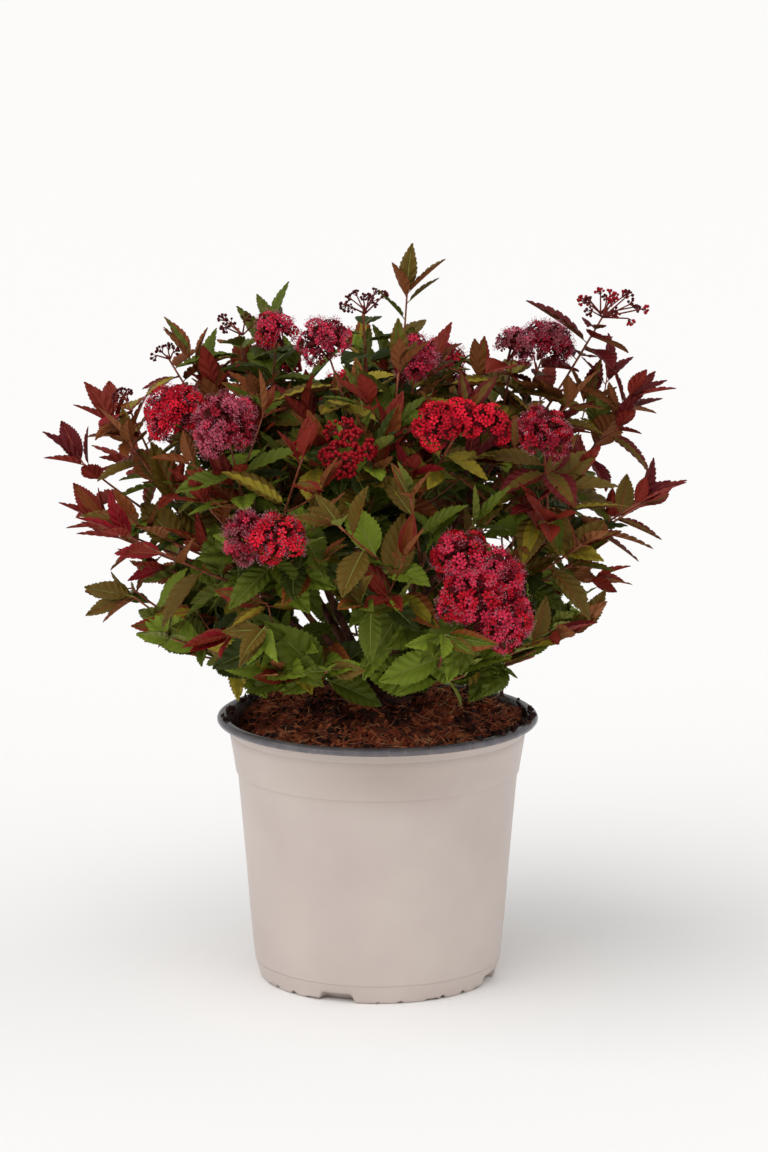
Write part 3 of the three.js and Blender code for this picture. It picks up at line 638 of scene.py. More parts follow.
def clearOfHeads(start, end, mass, gap):
    room = np.where(lobeOwners == mass.number, gap * 0.4, gap)
    return bool(np.all(distancesToSegment(lobePlaces, start, end) > lobeRadii + room))


def addShoot(turn, rise, reach, seed, kind, head=None):
    end = fromFoot(turn, rise, reach)
    shoot = record(end=end, rise=rise, head=head, draw=stream(seed), seed=seed, isStem=False,
                   twigsTo=crown["twigsTo"][kind], isLeafy=kind == "leafyStray")
    ownerOf(end).shoots.append(shoot)


for k, head in enumerate(heads):
    reach = head.reach - head.lobeList[0].radius * 0.2
    addShoot(head.turn, head.rise, reach, seeds["heads"] + k, "head", head)
for k, (turn, rise, reach) in enumerate(strayRows):
    addShoot(turn, rise, reach, seeds["strays"] + k, "leafyStray" if k in leafyStrays else "stray")
namedWays = np.array([direction(*row[:2]) for row in headRows + strayRows])
scatter = stream(seeds["scatter"])
lowest = sin(radians(crown["lowestFillerRise"]))
for k in range(crown["fillerShoots"]):
    rise = degrees(asin(mix(lowest, 1, (k + 0.5) / crown["fillerShoots"])))
    turn = goldenTurn * k + mix(*crown["jitter"][:2], scatter())
    rise = min(89, rise + mix(*crown["jitter"][2:], scatter()))
    reach = reachAt(turn, rise) * mix(*crown["fillerReach"], scatter())
    rise = max(rise, crown["lowestFillerRise"] + crown["rightLift"] * cos(radians(turn)))
    end = fromFoot(turn, rise, reach)
    near = np.max(namedWays @ direction(turn, rise)) > cos(radians(crown["clearTurn"]))
    if insideRoom(end, ownerOf(end), crown["endRoom"]) and not near:
        addShoot(turn, rise, reach, seeds["fillers"] + k, "filler")


def growShoots(mass):
    mass.shoots.sort(key=lambda shoot: shoot.rise)
    for k, shoot in enumerate(mass.shoots):
        shoot.phase = shoot.draw() * 360
        fork = mix(limbs["firstFork"], limbs["lastFork"], (k + 0.5) / len(mass.shoots))
        start, end = onCurve(mass.stem.curve, fork), shoot.end
        bow = mix(*crown["shootBow"], shoot.draw())
        shoot.span = float(np.linalg.norm(end - start))
        bend = mix(start, end, 0.4) + unit(end * np.array([1, 1, 0])) * shoot.span * bow
        if not insideRoom(bend, mass, crown["shootRoom"]):
            bend = mix(start, end, 0.5)
        shoot.curve = (start, bend, end)
        points = [onCurve(shoot.curve, t) for t in (0.25, 0.5, 0.75, 1)]
        shoot.isClear = shoot.head or all(clearOfHeads(a, b, mass, crown["shootHeadGap"])
                                          for a, b in zip(points, points[1:]))
        shoot.number = k
    mass.shoots = [shoot for shoot in mass.shoots if shoot.isClear]
    mass.stem.phase = mass.stem.draw() * 360


for mass in masses:
    growShoots(mass)

# Leaves and the finer twigs that carry most of them

leafRule = {
    "length": 47, "youngLength": 35,
    "broadShare": 0.51,  # width to length of a full leaf
    "narrowShare": 0.39,  # and of a young one at a tip
    "lowShare": 0.53, "lowEnlarge": 1.16,  # the lowest leaves are broad and large
    "pitch": 66, "tipPitch": 42, "headPitch": 74, "spacing": 16.5, "first": 0.24,
    "sizes": (0.85, 1.15), "droops": (0.1, 0.5), "jitter": 18,
    "margin": -12,  # a leaf may reach this far past its mass's room
    "belly": 0.42, "petiole": 3.2, "headGap": 5, "boughGap": 10,
    # a leaf that has no room is tried smaller, and turned up to the light: size and lift
    "tries": [(1, 0), (0.8, 0), (1, 0.5), (0.85, 1), (0.6, 0), (0.7, 1.6)],
    "hanging": [(1.05, -0.9), (0.9, -0.7)],  # and low down it is first tried hanging
    "hangBelow": 315,
}
twigRule = {
    "spacing": 27, "topSpacing": 18,  # from twig to twig, and near the top
    "stemSpacing": 14,  # on a mass's own stem
    "tries": 4, "shrink": 0.14,  # every further try is this much shorter
    "firstShare": 0.05, "lengths": (42, 78), "pitch": (36, 58), "jitter": 25,
    "rise": 0.16,  # twigs turn up towards the light by this share of their length
    "leafSpacing": 14, "leafLengths": (48, 40), "leafPitch": (74, 48),  # from a twig's foot to its tip
    "leafSizes": (0.8, 1.15), "leafDroops": (0.15, 0.6),
    "radius": 0.85, "tipRadius": 0.5, "reachShares": (0.64, 0.94), "topReach": 0.06, "leafyReach": 0.2,
    "headGap": 4, "room": 1,
    "short": 20, "hang": 13,  # room left for leaves beyond a twig's end, and for leaves that hang below it
    "openFrom": 130,  # low and this far to either side the crown lets the sky through
    "openBelow": (425, 370),  # at the left and at the right
    "openChance": 0.75,
    "rosette": [(8, 35), (32, 32), (46, 28)],  # pitch and length of the leaves at a tip
}
collarRule = {
    "count": 6, "gap": 5, "spacing": 5, "lengths": (36, 54), "pitch": 78, "droop": 0.1, "share": 0.48,
    "youth": 0.6,
}
sprayRule = {  # a spray's blush: red towards the sides and the top, green low down and inside
    "middle": -18, "depth": 0.55,  # the crown leans to the left, and counts for less front to back
    "height": 340, "width": 250, "highBlush": 0.28, "wideBlush": 0.4, "widePower": 2.4,
    "chance": (-0.2, 0.24),
    "right": (90, 60), "rightBlush": (-0.12, 0.14),  # greener low down at the right, and redder higher up
    "flush": 0.44, "paleFlush": 0.13, "lowFlush": 0.6,  # of young leaves, and how much rarer low down
}
leaves = []
twigs = []


def wayFrom(curve, t, turn, pitch, droop=0):
    # where a leaf or twig leaves its limb, which way it points, and the limb's own heading
    start, bend, end = curve
    along = unit((bend - start) * (1 - t) + (end - bend) * t)
    side, over = squareTo(along)
    radial = side * cos(radians(turn)) + over * sin(radians(turn))
    point = unit(along * cos(radians(pitch)) + radial * sin(radians(pitch)) - up * droop)
    return onCurve(curve, t), point, along


def addLeaf(mass, shoot, spray, way, length, share, youth):
    root, straight, along = wayFrom(*way)
    upper = unit(root - foot) * 0.6 + up * 0.7 + along * 0.7
    upper = unit(upper - straight * (upper @ straight))
    hanging = leafRule["hanging"] if root[2] < leafRule["hangBelow"] else []
    for size, lift in hanging + leafRule["tries"]:
        point = unit(straight + up * lift)
        upper = unit(upper - point * (upper @ point))
        width = np.cross(upper, point)
        tip = root + point * length * size
        belly = mix(root, tip, leafRule["belly"])
        half = width * length * size * share / 2
        corners = [tip, belly + half, belly - half]
        if not (insideRoom(corners, mass, leafRule["margin"]) and aboveMix(corners)):
            continue
        toBough = distancesToSegment(tip[None], foot, stemPoint(mass, mass.boughEnd))[0]
        if toBough < leafRule["boughGap"] and not shoot.isStem:
            continue
        if clearOfHeads(mix(root, tip, 0.35), tip, mass, leafRule["headGap"]):
            leaves.append(record(root=root, point=point, width=width, upper=upper, length=length * size,
                                 share=share, youth=youth, spray=spray))
            return


def newSpray(end, draw):
    rule = sprayRule
    high = (end[2] - foot[2]) / rule["height"]
    wide = hypot(end[0] - rule["middle"], end[1] * rule["depth"]) / rule["width"]
    start, reach = rule["right"]
    red = ease((end[0] - start) / reach) * mix(*rule["rightBlush"], ease((high - 0.25) / 0.35))
    red += rule["highBlush"] * high + rule["wideBlush"] * wide ** rule["widePower"]
    red += mix(*rule["chance"], draw())
    light = draw()
    isFlushed = light < (0.22 + 0.4 * wide) * mix(rule["lowFlush"], 1, ease(high * 3 - 0.3))
    return record(red=red, side=end[0], high=high, light=light,
                  flush=rule["flush" if isFlushed else "paleFlush"],
                  share=mix(leafRule["lowShare"], leafRule["broadShare"], ease(high * 2.5)),
                  enlarge=mix(leafRule["lowEnlarge"], 1, ease(high * 2)))


def leafTurn(k, draw):
    return goldenTurn * k + mix(-leafRule["jitter"], leafRule["jitter"], draw())


def leavesAlong(mass, shoot, spray):
    bare, tipYouth, tipPitch = 1.0, 1.0, leafRule["tipPitch"]
    if shoot.head:  # keeps large, spread leaves up to it
        bare, tipYouth, tipPitch = 0.9, 0.4, leafRule["headPitch"]
    count = int(shoot.span * (bare - leafRule["first"]) / leafRule["spacing"])
    for k in range(count + 1):
        t = mix(leafRule["first"], bare, k / max(count, 1))
        size = mix(*leafRule["sizes"], shoot.draw())
        turn = shoot.phase + leafTurn(k, shoot.draw)
        droop = mix(*leafRule["droops"], shoot.draw()) * (1.3 - shoot.rise / 90)
        old = ease((t - 0.55) / 0.45)
        young = 0 if shoot.isStem else old * tipYouth
        way = (shoot.curve, t, turn, mix(leafRule["pitch"], tipPitch, old), droop * (1 - young))
        length = mix(leafRule["length"] * spray.enlarge, leafRule["youngLength"], young) * size
        share = mix(spray.share, leafRule["narrowShare"], young)
        addLeaf(mass, shoot, spray, way, length, share, 0 if shoot.isStem else t)


def collar(mass, shoot, spray):
    # broad leaves spread right under a flower head
    below = shoot.head.lobeList[0].radius * 0.8 + collarRule["gap"]
    for k in range(collarRule["count"]):
        t = 1 - (below + collarRule["spacing"] * k) / shoot.span
        turn = shoot.phase + leafTurn(k, shoot.draw)
        length = mix(*collarRule["lengths"], shoot.draw())
        way = (shoot.curve, t, turn, collarRule["pitch"], collarRule["droop"])
        addLeaf(mass, shoot, spray, way, length, collarRule["share"], collarRule["youth"])


def rosette(mass, shoot, curve, phase, spray):
    for k, (pitch, length) in enumerate(twigRule["rosette"]):
        way = (curve, 1 - 0.02 * k, phase + goldenTurn * k, pitch)
        addLeaf(mass, shoot, spray, way, length, leafRule["narrowShare"], 1)


def twigFits(mass, root, end, share):
    x, y, z = end - foot
    distance = hypot(x, y, z)
    farthest = reachAt(degrees(atan2(y, x)), degrees(asin(z / distance))) * share
    return (distance < farthest - twigRule["short"] and insideRoom(end, mass, twigRule["room"])
            and aboveMix(end - up * twigRule["hang"]) and clearOfHeads(root, end, mass, twigRule["headGap"]))


def growTwigs(mass, shoot, draw):
    climb = ease(shoot.rise / 35 - 1)
    spacing = mix(twigRule["spacing"], twigRule["topSpacing"], climb)
    if shoot.isStem or shoot.isLeafy:
        spacing = twigRule["stemSpacing"]
    count = int(shoot.span * (shoot.twigsTo - twigRule["firstShare"]) / spacing)
    for k in range(count):
        t = mix(twigRule["firstShare"], shoot.twigsTo, (k + draw()) / count)
        turn = shoot.phase + goldenTurn * (2 * k + 1) + mix(-twigRule["jitter"], twigRule["jitter"], draw())
        pitch = mix(*twigRule["pitch"], draw())
        length = mix(*twigRule["lengths"], draw()) * (1.1 - 0.4 * t)
        phase = draw() * 360
        share = mix(*twigRule["reachShares"], draw()) + twigRule["topReach"] * climb
        share += twigRule["leafyReach"] * shoot.isLeafy
        for attempt in range(twigRule["tries"]):
            root, point, along = wayFrom(shoot.curve, t, turn + goldenTurn * attempt, pitch)
            size = length * (1 - twigRule["shrink"] * attempt)
            end = root + (point + up * twigRule["rise"]) * size
            openBelow = twigRule["openBelow"][0 if end[0] < 0 else 1]
            openRim = abs(end[0] - sprayRule["middle"]) > twigRule["openFrom"] and end[2] < openBelow
            if openRim and draw() < twigRule["openChance"]:
                break
            if twigFits(mass, root, end, share):
                curve = (root, root + point * size * 0.5, end)
                twigs.append(curve)
                leavesOnTwig(mass, shoot, curve, size, phase, draw)
                break


def leavesOnTwig(mass, shoot, curve, span, phase, draw):
    spray = newSpray(curve[2], draw)
    count = max(2, int(span * 0.8 / twigRule["leafSpacing"]))
    for k in range(count):
        t = mix(0.2, 0.94, k / count)
        length = mix(*twigRule["leafLengths"], t) * spray.enlarge * mix(*twigRule["leafSizes"], draw())
        droop = mix(*twigRule["leafDroops"], draw()) * (1.25 - spray.high)
        turn = phase + leafTurn(k, draw)
        way = (curve, t, turn, mix(*twigRule["leafPitch"], t), droop * (1 - t))
        share = mix(spray.share, leafRule["narrowShare"], t * t)
        addLeaf(mass, shoot, spray, way, length, share, 0.25 + 0.65 * t)
    rosette(mass, shoot, curve, phase, spray)


for mass in masses:
    leavesAlong(mass, mass.stem, newSpray(mass.stem.curve[2], stream(seeds["stemSprays"] + mass.number)))
    growTwigs(mass, mass.stem, stream(seeds["stemTwigs"] + mass.number))
    for shoot in mass.shoots:
        draw = stream(seeds["twigs"] + shoot.seed)
        spray = newSpray(shoot.end, draw)
        leavesAlong(mass, shoot, spray)
        if shoot.head:
            collar(mass, shoot, spray)
        else:
            rosette(mass, shoot, shoot.curve, shoot.phase, spray)
        growTwigs(mass, shoot, draw)
print("crown grown:", len(leaves), "leaves,", len(twigs), "finer twigs")

# Woody limbs with ridged bark, and smoother young wood

bark = {
    "ridges": 7, "ridgeDepth": 0.07, "knotDepth": 0.06, "knotSpacing": 9, "lumpSpacing": 14, "lumpDepth": 0.1,
}


def barkRadius(startRadius, endRadius, length, phase):
    def radiusAt(t, angles):
        ridge = np.sin(bark["ridges"] * angles + phase + 3 * t) * bark["ridgeDepth"]
        knots = bark["knotDepth"] * cos(2 * pi * t * length / bark["knotSpacing"] + phase)
        lumpy = noise.noise(Vector((t * length / bark["lumpSpacing"], phase, 0))) * bark["lumpDepth"]
        return mix(startRadius, endRadius, t) * (1 + ridge + knots + lumpy)
    return radiusAt


def barkedWood(name, dark, pale, roughness):
    # grown wood under thin ridged bark: matt red-brown with paler weathered ridges
    material, tree, place = newMaterial(name)
    streak = addNode(tree, "TexNoise", {"Scale": patternScale(6), "Detail": 4.0}, {"Vector": place})
    tint = addNode(tree, "ValToRGB", {}, {"Fac": streak}, [(0.36, dark), (0.64, pale)])
    bump = addNode(tree, "Bump", {"Strength": 0.4, "Distance": 0.0004}, {"Height": streak})
    return finished(material, {"Roughness": roughness, "IOR": 1.45}, {"Base Color": tint, "Normal": bump})


def barkedLimb(mass, start, end, past, startRadius, endRadius, rings):
    # runs on a little past its end, into the next limb
    radiusAt = barkRadius(startRadius, endRadius, end - start, mass.turn)
    return tube(lambda t: stemPoint(mass, mix(start, end + past, t)), radiusAt, 14, rings)


def makeKnuckle():
    # the top of the old wood, just above the mix
    rows, columns = 14, 48
    points = []
    for row in range(rows):
        for column in range(columns):
            way = Vector(direction(360 * column / columns, 90 * row / (rows - 1)))
            ridge = sin(limbs["baseRidges"] * 2 * pi * column / columns) * cos(pi / 2 * row / (rows - 1))
            rough = 1 + limbs["baseLumps"] * noise.noise(way * limbs["baseLumpSize"])
            rough += limbs["baseRidgeDepth"] * ridge
            size = np.array([limbs["baseRadius"], limbs["baseRadius"], limbs["baseHeight"] + 2]) * rough
            points.append(np.array(way) * size + up * (bed["crownHeight"] - limbs["baseSunk"]))
    return np.array(points), gridFaces(rows, columns)


def curveTube(curve, startRadius, endRadius, sides, rings, phase):
    def radiusAt(t, angles):
        return mix(startRadius, endRadius, t) * (1 + 0.08 * cos(2 * pi * t * rings / 2 + phase))
    return tube(lambda t: onCurve(curve, t), radiusAt, sides, rings)


stemBase, boughs, leaders, youngWood = [makeKnuckle()], [], [], []
stubStart, stubEnd, stubRadius, boughRadius, tipRadius = (
    limbs[key] for key in ("stubStart", "stubEnd", "stubRadius", "boughRadius", "boughTipRadius"))
for number, mass in enumerate(masses):
    steps = max(6, int((mass.boughEnd - stubEnd) / 3.5))
    stemBase.append(barkedLimb(mass, stubStart, stubEnd, limbs["stubPast"], stubRadius, boughRadius, 8))
    boughs.append(barkedLimb(mass, stubEnd, mass.boughEnd, limbs["boughPast"], boughRadius, tipRadius, steps))
    leaders.append(curveTube(mass.stem.curve, tipRadius, limbs["leaderTipRadius"], 8, 16, number))
    youngWood += [curveTube(shoot.curve, limbs["shootRadius"], limbs["shootTipRadius"], 6, 12, shoot.number)
                  for shoot in mass.shoots]
youngWood += [curveTube(curve, twigRule["radius"], twigRule["tipRadius"], 5, 5, k)
              for k, curve in enumerate(twigs)]
woodPieces = [  # name, parts and nodes, and the wood's name, dark and pale colour and roughness
    ("stem_base_bark", stemBase, ["stem_base"], "grownOldWood", "#2a1712", "#5b3527", 0.9),
    ("bough_bark", boughs, boughNodes, "grownBoughWood", "#3a1e16", "#70402a", 0.85),
    ("leader_stems", leaders, foliageNodes, "grownStemWood", "#4a2419", "#8a4a2c", 0.7),
    ("young_shoots", youngWood, foliageNodes, "grownYoungWood", "#6a2f20", "#9a5230", 0.55),
]
for name, parts, nodes, *look in woodPieces:
    addPiece(name, joinParts(parts), barkedWood(*look), nodes, "bark")
print("limbs made")

# The leaf blade: toothed edge, side veins as pleats slanting forward, a fold at the midrib

blade = {
    "rows": 14, "youngRows": 10,
    "longLeaf": 36,  # longer blades get the full rows
    "slant": 0.16,
    "belly": 0.756,  # puts the widest place two fifths along
    "fullness": 0.9, "toothOut": 1.07, "toothIn": 0.95, "innerShare": 0.52,
    "pleat": 0.014,  # of the leaf's length
    "bulge": 0.075,  # of its half width
    "thickness": 0.25,
    "fold": (0.08, 0.36), "youngFold": 0.18, "arch": (0.02, 0.24), "twist": 0.2, "sway": 0.05,
}


def halfWidthAt(u):
    return sin(pi * u ** blade["belly"]) ** blade["fullness"]


def bladeTemplate(rows):
    # corners as share of length, share of half width, bulge and pleat; faces of the inner and outer strips
    corners = {("root", 0): (0, 0, 0, 0), ("tip", 0): (1, 0, 0, 0)}
    for i in range(1, rows):
        u = i / rows
        ridge = 1 if i % 2 else -1
        rib = u - blade["slant"] * sin(pi * u)
        corners["rib", i] = (rib, 0, 0, 0)
        for s in (-1, 1):
            wide = s * halfWidthAt(u)
            corners["inner", i, s] = (mix(rib, u, 0.6), wide * blade["innerShare"], 1, ridge)
            corners["edge", i, s] = (u, wide * blade["toothIn"], 0, ridge * 0.7)
    for i in range(rows):
        for s in (-1, 1):
            wide = s * halfWidthAt((i + 0.6) / rows) * blade["toothOut"]
            corners["tooth", i, s] = ((i + 0.86) / rows, wide, 0, 0)
    names = {name: k for k, name in enumerate(corners)}

    def at(kind, i, s):
        if kind == "tooth":
            return names[kind, i, s]
        if i in (0, rows):
            return names["tip" if i else "root", 0]
        return names["rib", i] if kind == "rib" else names[kind, i, s]
    inner, outer = [], []
    for i in range(rows):
        for s in (-1, 1):
            rib, nextRib, strip, nextStrip, edge, nextEdge = (
                at(kind, i + step, s) for kind in ("rib", "inner", "edge") for step in (0, 1))
            tooth = at("tooth", i, s)
            for faces, triangles in (
                    (inner, [(rib, strip, nextStrip), (rib, nextStrip, nextRib)]),
                    (outer, [(strip, edge, tooth), (strip, tooth, nextStrip), (tooth, nextEdge, nextStrip)])):
                faces += [face[::s] for face in triangles if len(set(face)) == 3]
    return np.array(list(corners.values())), np.array(inner), np.array(outer)


leafDraw = np.random.default_rng(seeds["blades"])
leafCount = len(leaves)
root, point, width, upper, length, share, youth = (
    np.array([getattr(leaf, key) for leaf in leaves])
    for key in ("root", "point", "width", "upper", "length", "share", "youth"))
halfWidth = length * share / 2
fold = leafDraw.uniform(*blade["fold"], leafCount) + blade["youngFold"] * youth
arch = leafDraw.uniform(*blade["arch"], leafCount) * (1.15 - 0.75 * youth)
twist = leafDraw.normal(0, blade["twist"], leafCount)
sway = leafDraw.normal(0, blade["sway"], leafCount)


def leafPoints(chosen, corners, lift):
    # places a template's corners on every chosen leaf
    along, across, bulge, pleat = corners.T[:, None]
    size, half, folded, arched, twisted, swayed = (
        values[chosen][:, None] for values in (length, halfWidth, fold, arch, twist, sway))
    bend = twisted * along
    sideways = across * half
    high = (folded * np.abs(across) + blade["bulge"] * bulge) * half + blade["pleat"] * pleat * size + lift
    outAlong = leafRule["petiole"] + along * size * (1 - 0.25 * arched * along)
    outAcross = sideways * np.cos(bend) - high * np.sin(bend) + swayed * size * along ** 2
    outUp = sideways * np.sin(bend) + high * np.cos(bend) - arched * size * along ** 2
    return root[chosen][:, None] + sum(axis[chosen][:, None] * out[..., None] for axis, out in (
        (point, outAlong), (width, outAcross), (upper, outUp)))


def leafPart(chosen, corners, faces, lift):
    used, renumbered = np.unique(faces, return_inverse=True)
    return repeatPart(leafPoints(chosen, corners[used], lift), renumbered.reshape(faces.shape))


# Leaf colours, dealt out by spray: greens inside and low, bronze on, red at the tips

leafTints = {
    "deepGreen": "#333c10", "midGreen": "#566018", "freshGreen": "#708024", "yellowGreen": "#938226",
    "oliveBronze": "#624d18", "orangeBronze": "#7c421c", "brownRed": "#762417", "burgundy": "#5a0f12",
    "crimson": "#84121c",
}
underTints = {"paleGreen": "#757a34", "paleBronze": "#8c5530", "paleRed": "#8a2f24"}
blush = {  # the blush from which each tint is dealt
    "yellow": 0.3, "bronze": 0.42, "orange": 0.56, "dark": 0.72, "underBronze": 0.38, "underRed": 0.62,
    "edge": 0.08,  # the outer strips are this much redder
    "rightSide": 60,  # past this far to the right the reds are darker
}
skins = {
    # a living leaf's waxy skin: satin and finely uneven, in one tint of its spray
    "leaf": {"index": 1.45, "specular": 0.17, "cell": 2, "detail": 3.0, "duller": 0.1},
    # a living petal: thin, soft and nearly matt
    "petal": {"index": 1.42, "specular": 0.15, "cell": 1.5, "detail": 2.0, "duller": 0.08},
}


def capital(name):
    return name[0].upper() + name[1:]


def grownSkin(name, kind, colour, roughness):
    skin = skins[kind]
    material, tree, place = newMaterial("grown" + name)
    cells = addNode(tree, "TexNoise", {"Scale": patternScale(skin["cell"]), "Detail": skin["detail"]},
                    {"Vector": place})
    gloss = addNode(tree, "MapRange", {"To Min": roughness - 0.08, "To Max": roughness + skin["duller"]},
                    {"Value": cells})
    settings = {"Base Color": linear(colour), "IOR": skin["index"], "Specular IOR Level": skin["specular"]}
    return finished(material, settings, {"Roughness": gloss})


def tintOf(red, spray, chance):
    pick = spray.light * 7 % 1  # evenly dealt again, for the reds of a spray
    isRight = spray.side > blush["rightSide"]
    if red < blush["yellow"]:
        fresh = 0.5 - 0.35 * spray.high
        return "freshGreen" if chance < fresh else ("midGreen" if chance < fresh + 0.38 else "deepGreen")
    if red < blush["bronze"]:
        return "yellowGreen" if spray.light < 0.35 else ("midGreen" if spray.light < 0.6 else "oliveBronze")
    if red < blush["orange"]:
        return "oliveBronze" if chance < 0.6 or isRight else "orangeBronze"
    if isRight:
        return "brownRed" if pick < 0.35 else "burgundy"
    if red < blush["dark"]:
        return "orangeBronze" if pick < 0.3 else "brownRed"
    return "brownRed" if pick < 0.45 else ("burgundy" if pick < 0.7 else "crimson")


innerTint, outerTint, underTint = [], [], []
for leaf in leaves:
    chance = leafDraw.random()
    red = leaf.spray.red * (0.55 + 0.5 * leaf.youth) + leaf.spray.flush * leaf.youth ** 2
    red += leafDraw.uniform(-0.06, 0.06)
    innerTint.append(tintOf(red, leaf.spray, chance))
    outerTint.append(tintOf(red + (blush["edge"] if red > blush["yellow"] else 0), leaf.spray, chance))
    underTint.append("paleGreen" if red < blush["underBronze"] else
                     ("paleBronze" if red < blush["underRed"] else "paleRed"))
innerTint, outerTint, underTint = np.array(innerTint), np.array(outerTint), np.array(underTint)
isLong = length > blade["longLeaf"]
templates = [(isLong, bladeTemplate(blade["rows"])), (~isLong, bladeTemplate(blade["youngRows"]))]


def dealtParts(deals, lift):
    # the strips of both kinds of blade that a tint was dealt; those under a leaf face down
    parts = []
    for group, (corners, innerFaces, outerFaces) in templates:
        for dealt, faces in zip(deals, (innerFaces, outerFaces)):
            chosen = np.flatnonzero(dealt & group)
            if len(chosen):
                parts.append(leafPart(chosen, corners, faces[:, ::-1] if lift < 0 else faces, lift))
    return joinParts(parts)


layers = [  # names of piece and skin, tints, the tint of each leaf's inner and outer strips, lift, roughness
    ("leaves_", "Leaf", leafTints, innerTint, outerTint, 0, 0.5),
    ("leaf_undersides_", "LeafUnderside", underTints, underTint, underTint, -blade["thickness"], 0.62),
]
for name, skinName, tints, inner, outer, lift, roughness in layers:
    for tint, colour in tints.items():
        addPiece(name + tint, dealtParts((inner == tint, outer == tint), lift),
                 grownSkin(skinName + capital(tint), "leaf", colour, roughness), foliageNodes,
                 "leaf_green" if "Green" in tint else "leaf_bronze", smooth=False)


rib = {
    "rootRadius": 0.75, "flatness": 0.7, "phase": 0.25, "lift": 0.12,
    "steps": [(0.0, 0.6), (0.2, 0.48), (0.45, 0.38), (0.7, 0.26), (0.93, 0.1)],  # share of length, and radius
}


def ribPart(chosen):
    # petiole and midrib in one tapering strand of three sides
    side, over = width[chosen], upper[chosen] * rib["flatness"]
    rings = strandRing(root[chosen], rib["rootRadius"], side, over, rib["phase"])
    for along, radius in rib["steps"]:
        centre = leafPoints(chosen, np.array([[along, 0, 0, 0]]), rib["lift"])[:, 0]
        rings += strandRing(centre, radius, side, over, rib["phase"])
    return repeatPart(np.stack(rings, 1), gridFaces(len(rings) // 3, 3))


isPaleGreen = underTint == "paleGreen"
for name, colour, slot, chosen in (("green", "#8a9048", "leaf_green", isPaleGreen),
                                   ("red", "#9a4a34", "leaf_bronze", ~isPaleGreen)):
    addPiece("leaf_ribs_" + name, ribPart(np.flatnonzero(chosen)),
             grownSkin("Midrib" + capital(name), "leaf", colour, 0.5), foliageNodes, slot)
print("leaves made")

# Flower heads: domes of small five-petalled florets on pedicels, and clusters of round buds

umbels = {  # small umbels on stalks of their own make up every lobe; across and apart are what they carry
    "floret": {"radius": 8.4, "spacing": 1.3, "spread": (1, 1), "across": 6.8, "apart": 4.9},
    "bud": {"radius": 7.2, "spacing": 1.3, "spread": (1, 1), "across": 3.4, "apart": 4.0},
    # loose clusters, spread sideways and upwards
    "darkBud": {"radius": 3.8, "spacing": 2.3, "spread": (2.5, 1.2), "across": 2.7, "apart": 3.3},
}
umbel = {
    "fewest": 4,
    "spread": 76,  # degrees from its middle to its lowest floret
    "lowest": -0.35,  # umbels cover a lobe down past its widest place
    "squash": 0.82, "jitter": 0.12, "floretJitter": 0.16,
    "mainTintShare": 0.75,  # the other florets take any tint of the lobe
    "shaded": 0.7, "shadedShare": 0.5,  # past this share of an umbel, half of its florets take a darker tint, painted shade for the umbel's edge
    "core": 0.55, "coreBuds": 30, "coreBudSize": 0.3,  # painted shade: dark bud-shaped balls fill a lobe's middle, where the shade between its umbels falls
    "stalkRadii": (0.8, 0.6), "pedicelRadii": (0.42, 0.3),
}
stamen = {
    "count": 5, "length": 4.4, "radii": (0.13, 0.07), "antherSize": 0.26,
    "shares": {"fresh": 0.0, "open": 0.35, "fading": 0.6},  # of the florets of a head at each stage
}
petalTints = {
    "scarlet": "#e01c34", "crimson": "#b81026", "rose": "#cc2c4a", "dustyPink": "#b64c62",
    "magenta": "#8c162a", "agedPink": "#7e3c42", "shadedRed": "#560a14",
}
# the dark bud tint serves both the real dark bud clusters and the painted shade balls inside the floret lobes
budTints = {"ripeBud": "#98121e", "darkBud": "#4e1014"}


def floretTemplate():
    # five cupped petals of four faces round a hollow middle, for a floret one unit across
    outline = [(0.08, 0, 0), (0.24, -0.13, 0.06), (0.41, -0.15, 0.15), (0.5, 0, 0.13), (0.41, 0.15, 0.15),
               (0.24, 0.13, 0.06)]
    points = []
    for k in range(5):
        out, aside = direction(72 * k, 0), direction(72 * k + 90, 0)
        points += [x * out + y * aside + z * up for x, y, z in outline]
    faces = [(6 * k, 6 * k + j, 6 * k + j + 1) for k in range(5) for j in range(1, 5)]
    return np.array(points), np.array(faces)


def ballTemplate():
    golden = (1 + sqrt(5)) / 2
    points = np.array([np.roll((a, b, 0), k) for k in range(3) for b in (golden, -golden) for a in (-1, 1)])
    faces = np.array([
        (0, 11, 5), (0, 5, 1), (0, 1, 7), (0, 7, 10), (0, 10, 11), (1, 5, 9), (5, 11, 4), (11, 10, 2),
        (10, 7, 6), (7, 1, 8), (3, 9, 4), (3, 4, 2), (3, 2, 6), (3, 6, 8), (3, 8, 9), (4, 9, 5), (2, 4, 11),
        (6, 2, 10), (8, 6, 7), (9, 8, 1)])
    return points / np.linalg.norm(points[0]) * 0.5, faces


headDraw = np.random.default_rng(seeds["florets"])
florets = {tint: [] for tint in petalTints}  # rows of place, way out and size
buds = {tint: [] for tint in budTints}
middles, openFlorets, pedicels, stalks = [], [], [], []


def spiralOn(axis, lowest, count):
    # even ways out round an axis, in a sunflower spiral
    side, over = squareTo(axis)
    phase = headDraw.uniform(0, 6.28)
    for k in range(count):
        height = mix(1, lowest, (k + 0.5) / count)
        flat = sqrt(1 - height * height)
        turn = radians(goldenTurn) * k + phase
        yield side * cos(turn) * flat + over * sin(turn) * flat + axis * height


def bridgesOf(lobes):
    # smaller lobes that fill the notches of a long head
    if len(lobes) < 4:
        return []
    return [record(place=(one.place + other.place) / 2, radius=one.radius * 0.8,
                   facing=unit(one.facing + other.facing)) for one, other in zip(lobes, lobes[2:])]


